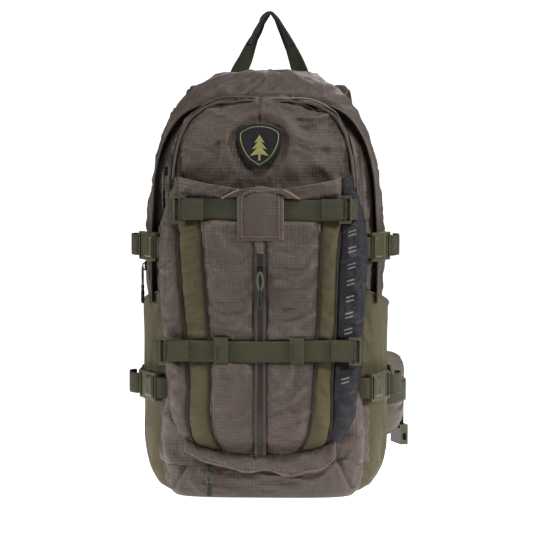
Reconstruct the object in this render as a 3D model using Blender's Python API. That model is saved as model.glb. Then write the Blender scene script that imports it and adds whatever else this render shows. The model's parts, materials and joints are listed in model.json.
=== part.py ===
"""Hunting daypack at rest, in metres. +X is the pack's right as seen from its front, +Y points to the
wearer's back, +Z is up, and the origin is the middle of the flat base that the pack stands on."""

import math

import bmesh
import bpy
from mathutils import Matrix, Vector

# Driving dimensions
WEBBING_WIDTH = 0.025
WEBBING_THICKNESS = 0.002
GAP = 0.0005

BAG_FRONT = -0.045
BAG_BACK = 0.070
BAG_HALF_WIDTH = 0.139
BAG_WALL = 0.0025
# Height, half width, front and back of the main compartment's horizontal sections
BAG_SECTIONS = (
    (0.000, 0.112, -0.038, 0.062),
    (0.012, 0.126, -0.045, 0.067),
    (0.050, 0.137, -0.045, 0.070),
    (0.090, BAG_HALF_WIDTH, -0.045, 0.070),
    (0.330, BAG_HALF_WIDTH, -0.045, 0.070),
    (0.385, 0.135, -0.044, 0.070),
    (0.425, 0.126, -0.040, 0.070),
    (0.455, 0.112, -0.033, 0.070),
    (0.478, 0.092, -0.018, 0.070),
    (0.492, 0.066, 0.002, 0.068),
    (0.4995, 0.036, 0.020, 0.060),
)
ZIP_Y = -0.026
ZIP_WIDTH = 0.008
ZIP_FOOT = 0.225
ZIP_CLEARANCE = 0.0003
CUTTER_REACH = 0.2

POCKET_BACK = BAG_FRONT - GAP
POCKET_FRONT = -0.078
POCKET_HALF_WIDTH = 0.108
POCKET_SECTIONS = (
    (0.046, POCKET_HALF_WIDTH, -0.074),
    (0.080, POCKET_HALF_WIDTH, POCKET_FRONT),
    (0.385, POCKET_HALF_WIDTH, POCKET_FRONT),
    (0.410, 0.1035, -0.0719),
    (0.430, 0.095, -0.067),
    (0.450, 0.080, -0.061),
    (0.460, 0.055, -0.056),
)

PANEL_BACK = POCKET_FRONT - GAP
PANEL_FRONT = -0.094
PANEL_SECTIONS = (
    (0.052, 0.070),
    (0.060, 0.090),
    (0.080, 0.105),
    (0.120, 0.116),
    (0.200, 0.120),
    (0.300, 0.119),
    (0.350, 0.114),
    (0.368, 0.106),
)

FRONT_ZIP_WIDTH = 0.007
FRONT_ZIP_FOOT = 0.290
CENTRE_ZIP_X = (-0.0095, 0.0045)
CENTRE_ZIP_Z = (0.058, 0.290)

BASE_POCKET_FRONT = -0.088
# Height, half width and front of the base pocket's sections
BASE_SECTIONS = (
    (0.000, 0.096, -0.072),
    (0.010, 0.108, -0.084),
    (0.030, 0.112, BASE_POCKET_FRONT),
    (0.045, 0.108, -0.086),
)
SIDE_POCKET_OUT = 0.148
SIDE_POCKET_Y = (-0.012, 0.060)
SIDE_POCKET_Z = (0.030, 0.220)
CLOTH_WALL = 0.0015

BACK_PANEL_OUT = 0.085
BACK_PANEL_SECTIONS = ((0.050, 0.104), (0.070, 0.110), (0.400, 0.108), (0.455, 0.088))
FRAME_SHEET_LOW = (-0.100, 0.0640, 0.030)
FRAME_SHEET_HIGH = (0.100, 0.0656, 0.430)

BADGE_AT = (-0.004, -0.0742, 0.4125)
BADGE_SLOPE = math.atan2(0.011, 0.045)
BADGE_HALF_THICKNESS = 0.0015

# Seen from the front: across, height, and how far the webbing is turned edge on, in degrees
HANDLE_Y = 0.0765
HANDLE_WIDTH = 0.021
HANDLE_THICKNESS = 0.003
HANDLE_PATH = (
    (-0.0360, 0.482, 0),
    (-0.0345, 0.500, 5),
    (-0.0240, 0.528, 45),
    (-0.0110, 0.555, 80),
    (-0.0005, 0.5725, 90),
    (0.0070, 0.5725, 90),
    (0.0175, 0.555, 80),
    (0.0310, 0.528, 45),
    (0.0415, 0.500, 5),
    (0.0435, 0.482, 0),
)

HARNESS_HINGE = Vector((0, 0.0925, 0.459))
# A shoulder pad's centre line, from its seam at the top to the ladder lock, and its width there
PAD_PATH = (
    (0.062, 0.0925, 0.4590),
    (0.064, 0.0950, 0.4700),
    (0.067, 0.1015, 0.4765),
    (0.070, 0.1085, 0.4705),
    (0.073, 0.1125, 0.4500),
    (0.076, 0.1130, 0.4000),
    (0.077, 0.1125, 0.3400),
    (0.077, 0.1090, 0.2700),
    (0.078, 0.1045, 0.2100),
    (0.078, 0.1000, 0.1660),
)
PAD_WIDTHS = (0.056, 0.060, 0.062, 0.062, 0.062, 0.062, 0.060, 0.058, 0.054, 0.040)
PAD_THICKNESS = 0.012
LADDER_LOCK_AT = Vector((0.078, 0.0990, 0.1515))
LOWER_WEBBING_PATH = (
    (0.0800, 0.0745, 0.022),
    (0.0800, 0.0840, 0.032),
    (0.0800, 0.0895, 0.046),
    (0.0790, 0.0950, 0.090),
    (0.0780, 0.0980, 0.1395),
)

STERNUM_HEIGHT = 0.340
STERNUM_Y = 0.1225
STERNUM_SCALE = 0.8
STERNUM_REACH = 0.098
STERNUM_WEBBING_WIDTH = 0.020
STERNUM_WEBBING_THICKNESS = 0.0016

WING_HINGE_X = 0.104
WING_HINGE_Y = 0.0935
WING_Z = 0.100
WING_PATH = (
    (0.104, 0.0935),
    (0.130, 0.1000),
    (0.152, 0.1130),
    (0.163, 0.1350),
    (0.163, 0.1620),
    (0.153, 0.1860),
)
WING_HEIGHTS = (0.080, 0.096, 0.104, 0.100, 0.086, 0.060)
WING_THICKNESS = 0.012
LEFT_WING_FOLD = math.radians(25)
HIP_WEBBING_STAND_OFF = 0.0082
HIP_WEBBING_RISE = 0.0250
HIP_WEBBING_DROP = 0.0470

# Side-release buckle, in its own frame: X along the strap, Y through it, Z across it, mouth at X = 0
BUCKLE_HALF_WIDTH = 0.0165
BUCKLE_HALF_DEPTH = 0.005
FEMALE_LENGTH = 0.026
MALE_LENGTH = 0.018
PRONG_LENGTH = 0.018
BUCKLE_AT = Vector((0.137, -0.041))
BUCKLE_ALONG = Vector((0.53, 0.848))
UPPER_STRAP_Z = 0.294
LOWER_STRAP_Z = 0.129
UPPER_RUN_X = 0.1430
LOWER_RUN_X = 0.1510

FRONT_STRAP_Y = -0.0973
TOP_STRAP_Z = 0.340
LOW_STRAP_Z = 0.176
FLAP_Y = -0.1005
FLAP_X = (-0.0290, 0.0250)
FLAP_Z = (0.304, 0.365)
HOOK_REACH = 0.0078

LONG_PULL = 0.044
SHORT_PULL = 0.030
PULL_STAND_OFF = 0.0054

COLOURS = {
    "ripstop": ((0.115, 0.095, 0.080), 0.55, 0.0),
    "olive_cloth": ((0.120, 0.115, 0.065), 0.80, 0.0),
    "webbing": ((0.085, 0.095, 0.045), 0.75, 0.0),
    "mesh_foam": ((0.030, 0.030, 0.030), 0.90, 0.0),
    "buckle_plastic": ((0.085, 0.095, 0.060), 0.40, 0.0),
    "dark_metal": ((0.080, 0.085, 0.070), 0.35, 0.6),
    "zip": ((0.020, 0.020, 0.022), 0.60, 0.0),
    "pull_rubber": ((0.012, 0.012, 0.014), 0.45, 0.0),
    "badge_rubber": ((0.020, 0.020, 0.022), 0.50, 0.0),
    "frame_plastic": ((0.050, 0.050, 0.055), 0.45, 0.0),
}


def clear_scene():
    for item in list(bpy.data.objects):
        bpy.data.objects.remove(item)


def material(name):
    found = bpy.data.materials.get(name)
    if found:
        return found
    colour, roughness, metallic = COLOURS[name]
    made = bpy.data.materials.new(name)
    made.use_nodes = True
    shader = made.node_tree.nodes["Principled BSDF"]
    shader.inputs["Base Color"].default_value = (*colour, 1)
    shader.inputs["Roughness"].default_value = roughness
    shader.inputs["Metallic"].default_value = metallic
    return made


def add_object(name, mesh, material_name, matrix=None):
    made = bpy.data.objects.new(name, mesh)
    bpy.context.scene.collection.objects.link(made)
    if not mesh.materials:
        mesh.materials.append(material(material_name))
    made.matrix_world = matrix or Matrix.Identity(4)
    return made


def add_empty(name, place):
    made = bpy.data.objects.new(name, None)
    bpy.context.scene.collection.objects.link(made)
    made.location = place
    bpy.context.view_layer.update()
    return made


def keep_in_place(item, parent):
    """Parents a finished object to a joint's empty without moving it."""
    item.parent = parent
    item.matrix_parent_inverse = parent.matrix_world.inverted()


def loft_mesh(name, rings):
    """A closed skin through rings of equally many points, with flat ends."""
    work = bmesh.new()
    rows = [[work.verts.new(point) for point in ring] for ring in rings]
    count = len(rows[0])
    for low, high in zip(rows, rows[1:]):
        for i in range(count):
            j = (i + 1) % count
            work.faces.new((low[i], low[j], high[j], high[i]))
    work.faces.new(rows[0][::-1])
    work.faces.new(rows[-1])
    bmesh.ops.recalc_face_normals(work, faces=work.faces)
    mesh = bpy.data.meshes.new(name)
    work.to_mesh(mesh)
    work.free()
    return mesh


def loft(name, rings, material_name, smooth_degrees=40):
    made = add_object(name, loft_mesh(name, rings), material_name)
    made.data.shade_smooth()
    made.data.set_sharp_from_angle(angle=math.radians(smooth_degrees))
    return made


def section(z, half_width, front, back, radius, steps=3):
    """A rounded rectangle at height z, counter-clockwise seen from above."""
    radius = min(radius, half_width * 0.95, (back - front) * 0.48)
    centres = (
        (half_width - radius, front + radius, -90),
        (half_width - radius, back - radius, 0),
        (radius - half_width, back - radius, 90),
        (radius - half_width, front + radius, 180),
    )
    ring = []
    for x, y, start in centres:
        for step in range(steps + 1):
            turn = math.radians(start + 90 * step / steps)
            ring.append(Vector((x + radius * math.cos(turn), y + radius * math.sin(turn), z)))
    return ring


def ribbon(name, path, across, widths, thickness, material_name):
    """A flat strap through the points of path. across gives the direction of its width at each point."""
    path = [Vector(point) for point in path]
    rings = []
    for i, point in enumerate(path):
        ahead = path[min(i + 1, len(path) - 1)]
        behind = path[max(i - 1, 0)]
        run = (ahead - behind).normalized()
        side = Vector(across[i]) if isinstance(across, list) else Vector(across)
        side = (side - run * side.dot(run)).normalized()
        face = run.cross(side).normalized() * thickness / 2
        width = widths[i] if isinstance(widths, (list, tuple)) else widths
        side = side * width / 2
        corners = (-side - face, side - face, side + face, face - side)
        rings.append([point + corner for corner in corners])
    return loft(name, rings, material_name)


def block(name, low, high, material_name=None):
    """A box between two corners. Without a material it is a cutter or a part of a union."""
    x0, y0, z0 = low
    x1, y1, z1 = high
    corners = ((x0, y0), (x1, y0), (x1, y1), (x0, y1))
    rings = [[Vector((x, y, z)) for x, y in corners] for z in (z0, z1)]
    return add_object(name, loft_mesh(name, rings), material_name or "buckle_plastic")


def combine(item, other, operation):
    """Adds a Boolean with a helper that is kept out of the result."""
    other.hide_render = True
    other.display_type = "WIRE"
    step = item.modifiers.new(operation.lower(), "BOOLEAN")
    step.operation = operation
    step.solver = "EXACT"
    step.object = other


def freeze(item):
    """The mesh that the modifiers make, for sharing between copies. The object and its helpers are removed."""
    bpy.context.view_layer.update()
    graph = bpy.context.evaluated_depsgraph_get()
    mesh = bpy.data.meshes.new_from_object(item.evaluated_get(graph))
    helpers = [step.object for step in item.modifiers]
    for helper in helpers:
        bpy.data.objects.remove(helper)
    bpy.data.objects.remove(item)
    mesh.shade_flat()
    return mesh


def bag_rings(inset):
    rings = []
    last = len(BAG_SECTIONS) - 1
    for i, (z, half_width, front, back) in enumerate(BAG_SECTIONS):
        height = z + inset if i == 0 else z - inset if i == last else z
        rings.append(section(height, half_width - inset, front + inset, back - inset, 0.030 - inset))
    return rings


def zip_slab(name, clearance):
    """The upright slab that the main zip lies in, from side to side and out over the top."""
    half = ZIP_WIDTH / 2 - clearance
    low = (-CUTTER_REACH, ZIP_Y - half, ZIP_FOOT + clearance)
    return block(name, low, (CUTTER_REACH, ZIP_Y + half, 3 * CUTTER_REACH))


def make_main_bag():
    """The compartment's shell, parted by a narrow slot from side to side over the top, where the zip lies."""
    bag = loft("main_bag", bag_rings(0), "ripstop")
    combine(bag, loft("bag_inside", bag_rings(BAG_WALL), "ripstop"), "DIFFERENCE")
    combine(bag, zip_slab("zip_slot", 0), "DIFFERENCE")

    chain = loft("main_zip", bag_rings(0), "zip")
    combine(chain, loft("zip_inside", bag_rings(BAG_WALL), "ripstop"), "DIFFERENCE")
    combine(chain, zip_slab("zip_strip", ZIP_CLEARANCE), "INTERSECT")


def make_front_pockets():
    rings = [section(z, w, front, POCKET_BACK, 0.014, 2) for z, w, front in POCKET_SECTIONS]
    loft("front_pocket", rings, "ripstop")
    rings = [section(z, w, PANEL_FRONT, PANEL_BACK, 0.007, 2) for z, w in PANEL_SECTIONS]
    loft("front_panel", rings, "ripstop")
    rings = [section(z, w, front, POCKET_BACK, 0.018, 2) for z, w, front in BASE_SECTIONS]
    loft("base_pocket", rings, "ripstop")


def make_front_zips():
    """The arched zip behind the pocket's front edge, and the upright zip down the panel's middle."""
    arch = [(w + 0.0024, z + 0.0006) for z, w, _ in POCKET_SECTIONS[2:]]
    arch = [(POCKET_HALF_WIDTH + 0.0015, FRONT_ZIP_FOOT)] + arch + [(0.030, 0.4630)]
    arch += [(-x, z) for x, z in reversed(arch)]
    path = [(-x, -0.058 if z > 0.44 else -0.060, z) for x, z in arch]
    ribbon("front_zip", path, (0, 1, 0), FRONT_ZIP_WIDTH, 0.0012, "zip")
    low = (CENTRE_ZIP_X[0], -0.0957, CENTRE_ZIP_Z[0])
    block("centre_zip", low, (CENTRE_ZIP_X[1], PANEL_FRONT - 0.0003, CENTRE_ZIP_Z[1]), "zip")


def make_side_pocket(name, side):
    """An open-topped bottle pocket, whose inner side is the bag's own wall."""
    y0, y1 = SIDE_POCKET_Y
    z0, z1 = SIDE_POCKET_Z
    inner = BAG_HALF_WIDTH + 0.0003
    xs = sorted((side * inner, side * SIDE_POCKET_OUT))
    pocket = block(name, (xs[0], y0, z0), (xs[1], y1, z1), "olive_cloth")
    xs = sorted((side * (inner - 0.01), side * (SIDE_POCKET_OUT - CLOTH_WALL)))
    wall = CLOTH_WALL
    room = block(name + "_room", (xs[0], y0 + wall, z0 + wall), (xs[1], y1 - wall, z1 + 0.05))
    combine(pocket, room, "DIFFERENCE")


def make_back():
    """The padded panel against the wearer's back, and the stiff sheet inside the bag behind it."""
    rings = [section(z, w, BAG_BACK + 0.0003, BACK_PANEL_OUT, 0.006, 2) for z, w in BACK_PANEL_SECTIONS]
    loft("back_panel", rings, "mesh_foam")
    block("frame_sheet", FRAME_SHEET_LOW, FRAME_SHEET_HIGH, "frame_plastic")


def make_badge():
    """A shield-shaped badge lying on the pocket's sloping top."""
    half = 0.0265
    outline = [(0, 0.0275), (0.016, 0.0255), (half, 0.017), (0.0235, 0.002), (0.0145, -0.015), (0, -0.0275)]
    outline += [(-x, z) for x, z in reversed(outline[1:-1])]
    faces = (-BADGE_HALF_THICKNESS, BADGE_HALF_THICKNESS)
    rings = [[Vector((x, y, z)) for x, z in outline] for y in faces]
    badge = loft("badge", rings, "badge_rubber", 20)
    badge.matrix_world = Matrix.Translation(BADGE_AT) @ Matrix.Rotation(-BADGE_SLOPE, 4, "X")


def female_mesh():
    """The half that catches: a flat box with a mouth, a window in each side, and a slot for its strap."""
    w, d = BUCKLE_HALF_WIDTH, BUCKLE_HALF_DEPTH
    body = block("female", (-FEMALE_LENGTH, -d, -w), (0, d, w))
    combine(body, block("mouth", (-0.0190, -0.003, -0.0135), (0.001, 0.003, 0.0135)), "DIFFERENCE")
    combine(body, block("windows", (-0.0150, -0.0026, -0.02), (-0.0060, 0.0026, 0.02)), "DIFFERENCE")
    combine(body, block("strap_slot", (-0.0245, -0.02, -0.0135), (-0.0210, 0.02, 0.0135)), "DIFFERENCE")
    return freeze(body)


def male_mesh():
    """The half that is pushed in: a collar, a ladder of two strap slots, two prongs and a guide between them."""
    w, d = BUCKLE_HALF_WIDTH, BUCKLE_HALF_DEPTH
    body = block("male", (0.0004, -d + 0.0002, -w), (0.0050, d - 0.0002, w))
    combine(body, block("ladder", (0.004, -0.003, -w), (MALE_LENGTH, 0.003, w)), "UNION")
    for z in (-0.0102, 0.0102):
        prong = block("prong", (-PRONG_LENGTH, -0.0024, z - 0.0027), (0.002, 0.0024, z + 0.0027))
        combine(body, prong, "UNION")
    combine(body, block("guide", (-0.014, -0.0015, -0.002), (0.002, 0.0015, 0.002)), "UNION")
    for x in (0.0065, 0.0125):
        combine(body, block("bar_slot", (x, -0.02, -0.0135), (x + 0.003, 0.02, 0.0135)), "DIFFERENCE")
    return freeze(body)


def frame_matrix(origin, along, out, scale=1.0):
    along, out = Vector(along).normalized(), Vector(out).normalized()
    across = along.cross(out)
    turn = Matrix((along, out, across)).transposed().to_4x4()
    return Matrix.Translation(origin) @ turn @ Matrix.Scale(scale, 4)


def scaled_copy(mesh, scale):
    """A smaller mesh, so that objects keep a scale of one."""
    made = mesh.copy()
    made.transform(Matrix.Scale(scale, 4))
    return made


def make_side_strap(name, side, z, run_x, female, male):
    """One compression strap: a short front stub, both halves of its buckle, and the rear strap with its tail."""
    at, along = BUCKLE_AT, BUCKLE_ALONG
    mouth = Vector((side * at.x, at.y, z))
    matrix = frame_matrix(mouth, (side * along.x, along.y, 0), (side * along.y, -along.x, 0))
    add_object("buckle_female_" + name, female, "buckle_plastic", matrix)
    slide = add_empty("slide_" + name, mouth)
    male_half = add_object("buckle_male_" + name, male, "buckle_plastic", matrix)
    keep_in_place(male_half, slide)

    end = at - along * (FEMALE_LENGTH + 0.0008)
    stub = [(0.1095, -0.0690), (0.1160, -0.0675), (end.x, end.y)]
    stub = [(side * x, y, z) for x, y in stub]
    ribbon("strap_stub_" + name, stub, (0, 0, 1), WEBBING_WIDTH, WEBBING_THICKNESS, "webbing")

    tail_x = run_x + 0.0075 if run_x < 0.145 else run_x + 0.0025
    rear = [(0.1420, 0.0665), (run_x, 0.0640), (run_x, 0.030), (run_x + 0.0005, 0.0)]
    rear += [(0.1500, -0.0150), (0.1485, -0.0220), (0.1525, -0.0240), (tail_x + 0.006, -0.0175)]
    rear += [(tail_x + 0.0085, -0.004), (tail_x + 0.007, 0.008), (tail_x + 0.0035, 0.0105)]
    rear = [(side * x, y, z) for x, y in rear]
    strap = ribbon("strap_rear_" + name, rear, (0, 0, 1), WEBBING_WIDTH, WEBBING_THICKNESS, "webbing")
    keep_in_place(strap, slide)


def hook_mesh():
    """A flat ring with two upright slots, for a strap's folded end."""
    hook = block("hook", (-0.007, -0.0016, -0.016), (0.007, 0.0016, 0.016), "dark_metal")
    for x in (-0.0048, 0.0010):
        combine(hook, block("slot", (x, -0.02, -0.0132), (x + 0.0038, 0.02, 0.0132)), "DIFFERENCE")
    return freeze(hook)


def make_front_strap(name, z, left, right, hook):
    """Webbing across the front at height z, with a hook beyond each end."""
    half = WEBBING_THICKNESS / 2
    low = (left, FRONT_STRAP_Y - half, z - WEBBING_WIDTH / 2)
    high = (right, FRONT_STRAP_Y + half, z + WEBBING_WIDTH / 2)
    block(name + "_front_strap", low, high, "webbing")
    for side_name, x in (("left", left - HOOK_REACH), ("right", right + HOOK_REACH)):
        place = Matrix.Translation((x, FRONT_STRAP_Y, z))
        add_object(f"{name}_hook_{side_name}", hook, "dark_metal", place)


def make_keeper_flap():
    half = WEBBING_THICKNESS / 2
    low = (FLAP_X[0], FLAP_Y - half, FLAP_Z[0])
    flap = block("keeper_flap", low, (FLAP_X[1], FLAP_Y + half, FLAP_Z[1]), "ripstop")
    keep_in_place(flap, add_empty("flap_hinge", (0, FLAP_Y, FLAP_Z[1] - 0.001)))


def make_handle():
    """A webbing loop that stands over the top, its legs flat to the back and its grip turned edge on."""
    path = [(x, HANDLE_Y, z) for x, z, _ in HANDLE_PATH]
    turns = [math.radians(turn) for _, _, turn in HANDLE_PATH]
    across = [(math.cos(turn), math.sin(turn), 0) for turn in turns]
    handle = ribbon("carry_handle", path, across, HANDLE_WIDTH, HANDLE_THICKNESS, "webbing")
    keep_in_place(handle, add_empty("handle_hinge", (0, HANDLE_Y, 0.484)))


def ladder_lock_mesh():
    lock = block("lock", (-0.016, -0.0025, -0.011), (0.016, 0.0025, 0.011))
    for z in (-0.0075, 0.0025):
        combine(lock, block("slot", (-0.0132, -0.02, z), (0.0132, 0.02, z + 0.005)), "DIFFERENCE")
    return freeze(lock)


def make_harness(hinge, lock):
    """Both shoulder straps: a pad, the ladder lock on its end, and the webbing up from the bag's foot."""
    for name, side in (("left", -1), ("right", 1)):
        path = [(side * x, y, z) for x, y, z in PAD_PATH]
        pad = ribbon("shoulder_pad_" + name, path, (1, 0, 0), PAD_WIDTHS, PAD_THICKNESS, "mesh_foam")
        x, y, z = LADDER_LOCK_AT
        place = Matrix.Translation((side * x, y, z))
        ladder = add_object("ladder_lock_" + name, lock, "buckle_plastic", place)
        keep_in_place(pad, hinge)
        keep_in_place(ladder, hinge)
        tail = [(side * x, y, z) for x, y, z in LOWER_WEBBING_PATH]
        ribbon("shoulder_webbing_" + name, tail, (1, 0, 0), WEBBING_WIDTH, WEBBING_THICKNESS, "webbing")


def make_sternum_strap(hinge, female, male):
    """The strap across the chest, whose height slides on the shoulder pads."""
    height = add_empty("sternum_slide", (0, STERNUM_Y, STERNUM_HEIGHT))
    keep_in_place(height, hinge)
    bpy.context.view_layer.update()
    matrix = frame_matrix((0, STERNUM_Y, STERNUM_HEIGHT), (-1, 0, 0), (0, 1, 0))
    catch = add_object("sternum_female", scaled_copy(female, STERNUM_SCALE), "buckle_plastic", matrix)
    latch = add_object("sternum_male", scaled_copy(male, STERNUM_SCALE), "buckle_plastic", matrix)
    inner = FEMALE_LENGTH * STERNUM_SCALE + GAP
    outer = MALE_LENGTH * STERNUM_SCALE + GAP
    straps = []
    for name, near, far in (("right", inner, STERNUM_REACH), ("left", -outer, -STERNUM_REACH)):
        path = [(near, STERNUM_Y, STERNUM_HEIGHT), (far, STERNUM_Y, STERNUM_HEIGHT)]
        straps.append(ribbon("sternum_strap_" + name, path, (0, 0, 1), STERNUM_WEBBING_WIDTH,
                             STERNUM_WEBBING_THICKNESS, "webbing"))
    for item in (catch, latch, *straps):
        keep_in_place(item, height)


def make_hip_belt(female, male):
    """Both hip wings, each with webbing over its end and half a buckle hanging from it."""
    for name, side, fold in (("left", -1, -LEFT_WING_FOLD), ("right", 1, 0.0)):
        root = Vector((side * WING_HINGE_X, WING_HINGE_Y, 0))
        turn = Matrix.Translation(root) @ Matrix.Rotation(fold, 4, "Z") @ Matrix.Translation(-root)
        hinge = add_empty("wing_hinge_" + name, (root.x, root.y, WING_Z))
        path = [turn @ Vector((side * x, y, WING_Z)) for x, y in WING_PATH]
        pad = ribbon("hip_wing_" + name, path, (0, 0, 1), WING_HEIGHTS, WING_THICKNESS, "ripstop")
        tip, before = path[-1], path[-2]
        run = (tip - before).normalized()
        out = Vector((run.y, -run.x, 0)) * side
        place = (tip + before) / 2 + out * HIP_WEBBING_STAND_OFF
        hang = [place + Vector((0, 0, HIP_WEBBING_RISE)), place - Vector((0, 0, HIP_WEBBING_DROP))]
        strap = ribbon("hip_webbing_" + name, hang, run, WEBBING_WIDTH, WEBBING_THICKNESS, "webbing")
        half_name, mesh, length, way = ("hip_female", female, FEMALE_LENGTH, -1)
        if side < 0:
            half_name, mesh, length, way = ("hip_male", male, MALE_LENGTH, 1)
        origin = place - Vector((0, 0, HIP_WEBBING_DROP + 0.0008 + length))
        half = add_object(half_name, mesh, "buckle_plastic", frame_matrix(origin, (0, 0, way), out))
        for item in (pad, strap, half):
            keep_in_place(item, hinge)


def make_zip_pull(name, top, out, length):
    """A slider, and the corded grip that hangs from it. out is the direction that the zip faces."""
    out = Vector(out)
    across = Vector((0, 0, 1)).cross(out)
    top = Vector(top)
    slide = add_empty(name + "_slide", top)

    def ring(centre, half_width, half_depth):
        corners = ((-1, -1), (1, -1), (1, 1), (-1, 1))
        return [centre + across * a * half_width + out * b * half_depth for a, b in corners]

    body = [(0.0060, 0.0030), (0.0010, 0.0042), (-0.0050, 0.0028)]
    rings = [ring(top + Vector((0, 0, z)) + out * 0.0016, width, 0.0014) for z, width in body]
    slider = loft(name + "_slider", rings, "zip")
    keep_in_place(slider, slide)
    axis = top + out * PULL_STAND_OFF
    grip = [(0.0015, 0.0016, 0.0012), (-0.50 * length, 0.0018, 0.0013), (-0.55 * length, 0.0034, 0.0019)]
    grip += [(-0.90 * length, 0.0037, 0.0019), (-length, 0.0022, 0.0014)]
    rings = [ring(axis + Vector((0, 0, z)), width, depth) for z, width, depth in grip]
    pull = loft(name + "_pull", rings, "pull_rubber")
    keep_in_place(pull, add_empty(name + "_swing", axis))


def main():
    clear_scene()
    make_main_bag()
    make_front_pockets()
    make_front_zips()
    make_side_pocket("side_pocket_left", -1)
    make_side_pocket("side_pocket_right", 1)
    make_back()
    make_badge()
    make_handle()
    female, male = female_mesh(), male_mesh()
    for side_name, side in (("left", -1), ("right", 1)):
        make_side_strap("upper_" + side_name, side, UPPER_STRAP_Z, UPPER_RUN_X, female, male)
        make_side_strap("lower_" + side_name, side, LOWER_STRAP_Z, LOWER_RUN_X, female, male)
    hook = hook_mesh()
    make_front_strap("top", TOP_STRAP_Z, -0.088, 0.088, hook)
    make_front_strap("lower", LOW_STRAP_Z, -0.1055, 0.0995, hook)
    make_keeper_flap()
    harness_hinge = add_empty("harness_hinge", HARNESS_HINGE)
    make_harness(harness_hinge, ladder_lock_mesh())
    make_sternum_strap(harness_hinge, female, male)
    make_hip_belt(female, male)
    make_zip_pull("centre", (-0.0025, -0.0960, 0.268), (0, -1, 0), LONG_PULL)
    make_zip_pull("base", (-0.062, BASE_POCKET_FRONT - GAP, 0.034), (0, -1, 0), SHORT_PULL)
    make_zip_pull("front", (-POCKET_HALF_WIDTH - 0.0036, -0.060, 0.382), (-1, 0, 0), LONG_PULL)
    make_zip_pull("main", (-0.1395, ZIP_Y, 0.268), (-1, 0, 0), LONG_PULL)


main()
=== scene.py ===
"""The looks of a hunting daypack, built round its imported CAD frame. Metres, +X right, -Y front, +Z up."""

import json
import math

import bmesh
import bpy
import numpy as np
from mathutils import Matrix, Vector


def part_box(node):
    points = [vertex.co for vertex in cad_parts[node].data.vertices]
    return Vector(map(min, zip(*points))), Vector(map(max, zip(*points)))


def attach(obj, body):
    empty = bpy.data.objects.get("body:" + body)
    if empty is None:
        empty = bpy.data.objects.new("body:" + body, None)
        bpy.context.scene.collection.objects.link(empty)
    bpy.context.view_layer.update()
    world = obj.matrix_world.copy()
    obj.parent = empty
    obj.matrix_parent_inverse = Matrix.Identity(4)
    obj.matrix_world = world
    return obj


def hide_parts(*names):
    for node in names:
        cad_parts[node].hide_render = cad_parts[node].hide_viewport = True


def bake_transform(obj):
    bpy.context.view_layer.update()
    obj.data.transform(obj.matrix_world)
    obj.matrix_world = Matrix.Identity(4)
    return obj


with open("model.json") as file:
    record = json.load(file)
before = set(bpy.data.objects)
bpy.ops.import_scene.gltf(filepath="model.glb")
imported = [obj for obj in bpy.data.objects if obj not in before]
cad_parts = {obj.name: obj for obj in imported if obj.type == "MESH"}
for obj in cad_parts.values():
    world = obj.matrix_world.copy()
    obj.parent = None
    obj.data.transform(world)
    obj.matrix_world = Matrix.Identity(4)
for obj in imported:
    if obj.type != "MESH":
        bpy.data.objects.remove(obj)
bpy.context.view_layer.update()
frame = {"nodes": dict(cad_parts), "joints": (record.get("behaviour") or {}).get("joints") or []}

FRONT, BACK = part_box("main_bag")[0].y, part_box("main_bag")[1].y
POCKET_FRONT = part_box("front_pocket")[0].y
PANEL_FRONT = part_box("front_panel")[0].y
SIDES = (("left", -1), ("right", 1))
FORWARD = (0.0, -1.0, 0.0)
CLOTH = 0.0012
WEBBING_WIDTH = 0.0245
TURN = 6.2832  # a wave's whole turn, in radians

# How square the sections are: each is |x|^n + |y|^n = 1, scaled
BAG_POWER, POCKET_POWER, PANEL_POWER, BASE_POWER = 4.2, 6.5, 4.5, 3.6

# Sections of the bag from its foot up: height, half width, front and back
BAG_TABLE = np.array([
    (0.000, 0.108, -0.036, 0.06), (0.006, 0.118, -0.041, 0.064), (0.018, 0.127, -0.045, 0.067),
    (0.05, 0.136, -0.045, 0.07), (0.09, 0.1385, -0.045, 0.07), (0.2, 0.1385, -0.046, 0.07),
    (0.33, 0.138, -0.045, 0.07), (0.385, 0.1345, -0.043, 0.07), (0.425, 0.1255, -0.038, 0.07),
    (0.455, 0.1115, -0.03, 0.07), (0.478, 0.092, -0.016, 0.07), (0.49, 0.072, -0.002, 0.068),
    (0.4965, 0.052, 0.01, 0.064), (0.4992, 0.03, 0.022, 0.056)])

# Outline of the front panel from its foot up: height and half width
PANEL_TABLE = np.array([
    (0.0555, 0.058), (0.061, 0.078), (0.071, 0.091), (0.085, 0.102), (0.105, 0.109), (0.135, 0.1125),
    (0.2, 0.1165), (0.25, 0.12), (0.3, 0.1205), (0.335, 0.1165), (0.362, 0.107), (0.38, 0.1)])


# ---------------------------------------------------------------- numbers

def curve_at(table, at):
    """A smooth curve through a table's rows, read at one or more first-column values."""
    xs, ys = table[:, 0], table[:, 1:]
    at = np.clip(np.asarray(at, float), xs[0], xs[-1])
    slope = np.gradient(ys, xs, axis=0)
    i = np.clip(np.searchsorted(xs, at) - 1, 0, len(xs) - 2)
    step = xs[i + 1] - xs[i]
    t = ((at - xs[i]) / step)[..., None]
    step = step[..., None]
    a, b, ma, mb = ys[i], ys[i + 1], slope[i] * step, slope[i + 1] * step
    return (
        (2 * t**3 - 3 * t**2 + 1) * a + (t**3 - 2 * t**2 + t) * ma + (3 * t**2 - 2 * t**3) * b
        + (t**3 - t**2) * mb
    )


def line_at(pairs, at):
    """The second value of (first, second) pairs, smoothly at a given first value."""
    table = np.array(sorted(pairs), float)
    return curve_at(table, at)[..., 0]


def ease(low, high, at):
    """0 below low and 1 above high, with a smooth climb between."""
    t = np.clip((np.asarray(at, float) - low) / (high - low), 0, 1)
    return t * t * (3 - 2 * t)


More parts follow.
